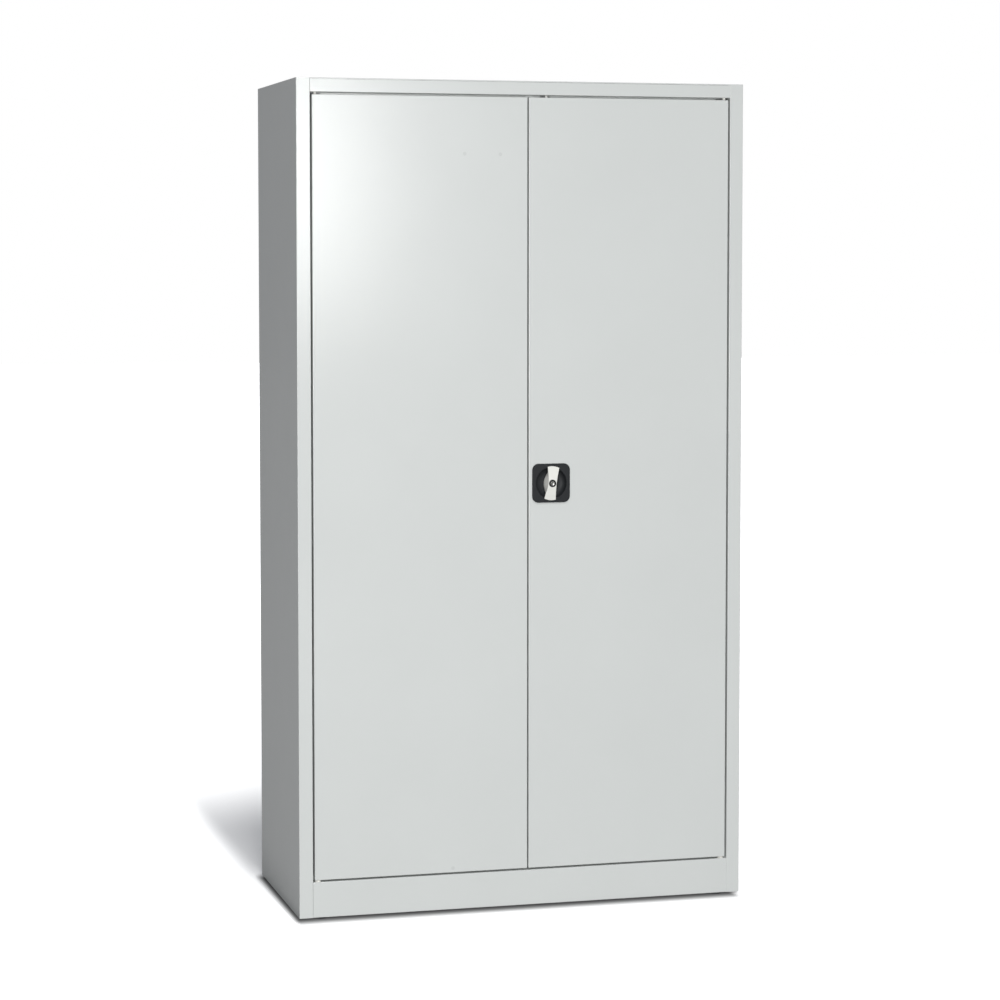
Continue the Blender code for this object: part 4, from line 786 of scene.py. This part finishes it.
# Bright zinc plate: a cool, slightly blotchy metal. The blotches are about 17 mm across, and the drawing
# marks, which are finer in life, about 1 mm.
zinc_plate, tree = start_material("bright_zinc_plate")
place = add_node(tree, "ShaderNodeTexCoord")
blotch = add_node(tree, "ShaderNodeTexNoise", {"Vector": place.outputs["Object"], "Scale": 60.0, "Detail": 4.0})
tint = add_node(tree, "ShaderNodeMixRGB", {"Fac": blotch.outputs[0], "Color1": linear("#B9BDC0"),
                                           "Color2": linear("#D3D6D8")})
gloss = add_node(tree, "ShaderNodeMapRange", {"Value": blotch.outputs[0], "To Min": 0.26, "To Max": 0.42})
marks = add_node(tree, "ShaderNodeTexNoise", {"Vector": place.outputs["Object"], "Scale": 900.0, "Detail": 2.0})
bump = add_node(tree, "ShaderNodeBump", {"Height": marks.outputs[0], "Strength": 0.3, "Distance": 0.00003})
plate = add_node(tree, "ShaderNodeBsdfPrincipled", {"Base Color": tint.outputs[0], "Metallic": 1.0,
                                                    "Roughness": gloss.outputs[0], "Normal": bump.outputs[0]})
add_node(tree, "ShaderNodeOutputMaterial", {"Surface": plate.outputs[0]})
dress(zinc_plate, "handle_spindle", "drive_pinion", "lock_case")
dress(zinc_plate, *[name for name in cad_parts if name.endswith(("rack", "screw", "tongue", "strike"))])

# Hinge pins. Turned from zinc-plated bar. The upper pin's collar lies inside the door under its top fold,
# and the lower pin's carries the door on the bush. A white nylon sleeve is pressed on the part that turns.


def turned(name, axis, profile, steps=48):
    """A piece turned round an upright axis, from (radius, height, sleeved) rings, end to end."""
    bm = bmesh.new()
    rows = [[bm.verts.new((axis.x + radius * math.cos(angle), axis.y + radius * math.sin(angle), height))
             for angle in fan(steps)] for radius, height, sleeved in profile]
    for row, following, (radius, height, sleeved) in zip(rows, rows[1:], profile[1:]):
        for index in range(steps):
            beside = (index + 1) % steps
            band = bm.faces.new((row[index], row[beside], following[beside], following[index]))
            band.material_index = sleeved
    for row, (radius, height, sleeved) in ((rows[0], profile[0]), (rows[-1], profile[-1])):
        bm.faces.new(row).material_index = sleeved
    made = make_object(name, bm, zinc_plate)
    made.data.materials.append(nylon)
    return made


chamfer = 0.0008
broken_edge = 0.0003
seat_gap = 0.0003
collar_height = 0.0018
for word in ("left", "right"):
    for end in ("upper", "lower"):
        node = word + "_" + end + "_hinge_pin"
        low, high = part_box(node)
        collar = (high.x - low.x) / 2
        radius = collar / 2
        if end == "upper":
            rings = [(collar - broken_edge, low.z, 0), (collar, low.z + broken_edge, 0),
                     (collar, low.z + collar_height, 0), (radius, low.z + collar_height, 0),
                     (radius, high.z - chamfer, 1), (radius - chamfer, high.z, 1)]
        else:
            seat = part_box(word + "_door_shell")[0].z - seat_gap
            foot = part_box("lower_" + word + "_hinge_bush")[1].z + seat_gap
            rings = [(radius - chamfer, low.z, 1), (radius, low.z + chamfer, 1), (radius, foot, 1),
                     (collar, foot, 1), (collar, seat, 1), (radius, seat, 1), (radius, high.z - broken_edge, 0),
                     (radius - broken_edge, high.z, 0)]
        fit(turned(node + "_turned", (low + high) / 2, rings), node, word + "_door")

# Rods. Drawn zinc-plated bar with a white nylon sleeve on the tip that slides through the rail or the
# plinth. Their inner ends are slotted and stand over the racks.
sleeve = 0.02
rod_chamfer = chamfer / 2
slot_past = 0.001
for end, word in ((1, "upper"), (-1, "lower")):
    node = word + "_rod"
    low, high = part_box(node)
    radius = (high.x - low.x) / 2
    inner, tip = (low.z, high.z) if end > 0 else (high.z, low.z)
    rings = [(radius - rod_chamfer, inner, 0), (radius, inner + end * rod_chamfer, 0),
             (radius, tip - end * sleeve, 0), (radius, tip - end * chamfer, 1), (radius - chamfer, tip, 1)]
    bar = turned(node + "_turned", (low + high) / 2, rings)
    rack_low, rack_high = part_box(word + "_rack")
    rack_end = rack_high.z if end > 0 else rack_low.z
    slot_low, slot_high = sorted((inner - end * slot_past, rack_end + end * seat_gap))
    punch(bar, (low.x - slot_past, rack_low.y - seat_gap, slot_low),
          (high.x + slot_past, rack_high.y + seat_gap, slot_high))
    fit(bar, node, node)

# Shelf uprights and bearers. The uprights are slotted channels that stand inside the sides, and the bearers
# are angles hooked into their slots. All are roll formed from zinc-coated strip and keep their CAD shape.
dress(zinc_plate, *[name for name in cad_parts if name.endswith(("upright", "bearer"))])

# Shelves. Trays folded from 0.8 mm sheet, powder coated with the body. Each lies loose on its two bearers,
# and keeps its CAD shape.
dress(powder_coat, *[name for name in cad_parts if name.startswith("shelf") and name.count("_") == 1])

# Glides and door buffers. The glides are feet pushed into the base, and the buffers are stops pushed into
# the rail's flange. All are moulded in black rubber.

# Black rubber: matt, with a dusty bloom in patches of about 1.5 mm.
rubber, tree = start_material("black_rubber")
place = add_node(tree, "ShaderNodeTexCoord")
bloom = add_node(tree, "ShaderNodeTexNoise", {"Vector": place.outputs["Object"], "Scale": 700.0, "Detail": 3.0})
tint = add_node(tree, "ShaderNodeMixRGB", {"Fac": bloom.outputs[0], "Color1": linear("#191A1B"),
                                           "Color2": linear("#2A2B2C")})
bump = add_node(tree, "ShaderNodeBump", {"Height": bloom.outputs[0], "Strength": 0.3, "Distance": 0.0001})
matt = add_node(tree, "ShaderNodeBsdfPrincipled", {"Base Color": tint.outputs[0], "Roughness": 0.75,
                                                   "Normal": bump.outputs[0]})
add_node(tree, "ShaderNodeOutputMaterial", {"Surface": matt.outputs[0]})
dress(rubber, *[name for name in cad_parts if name.endswith(("glide", "buffer"))])
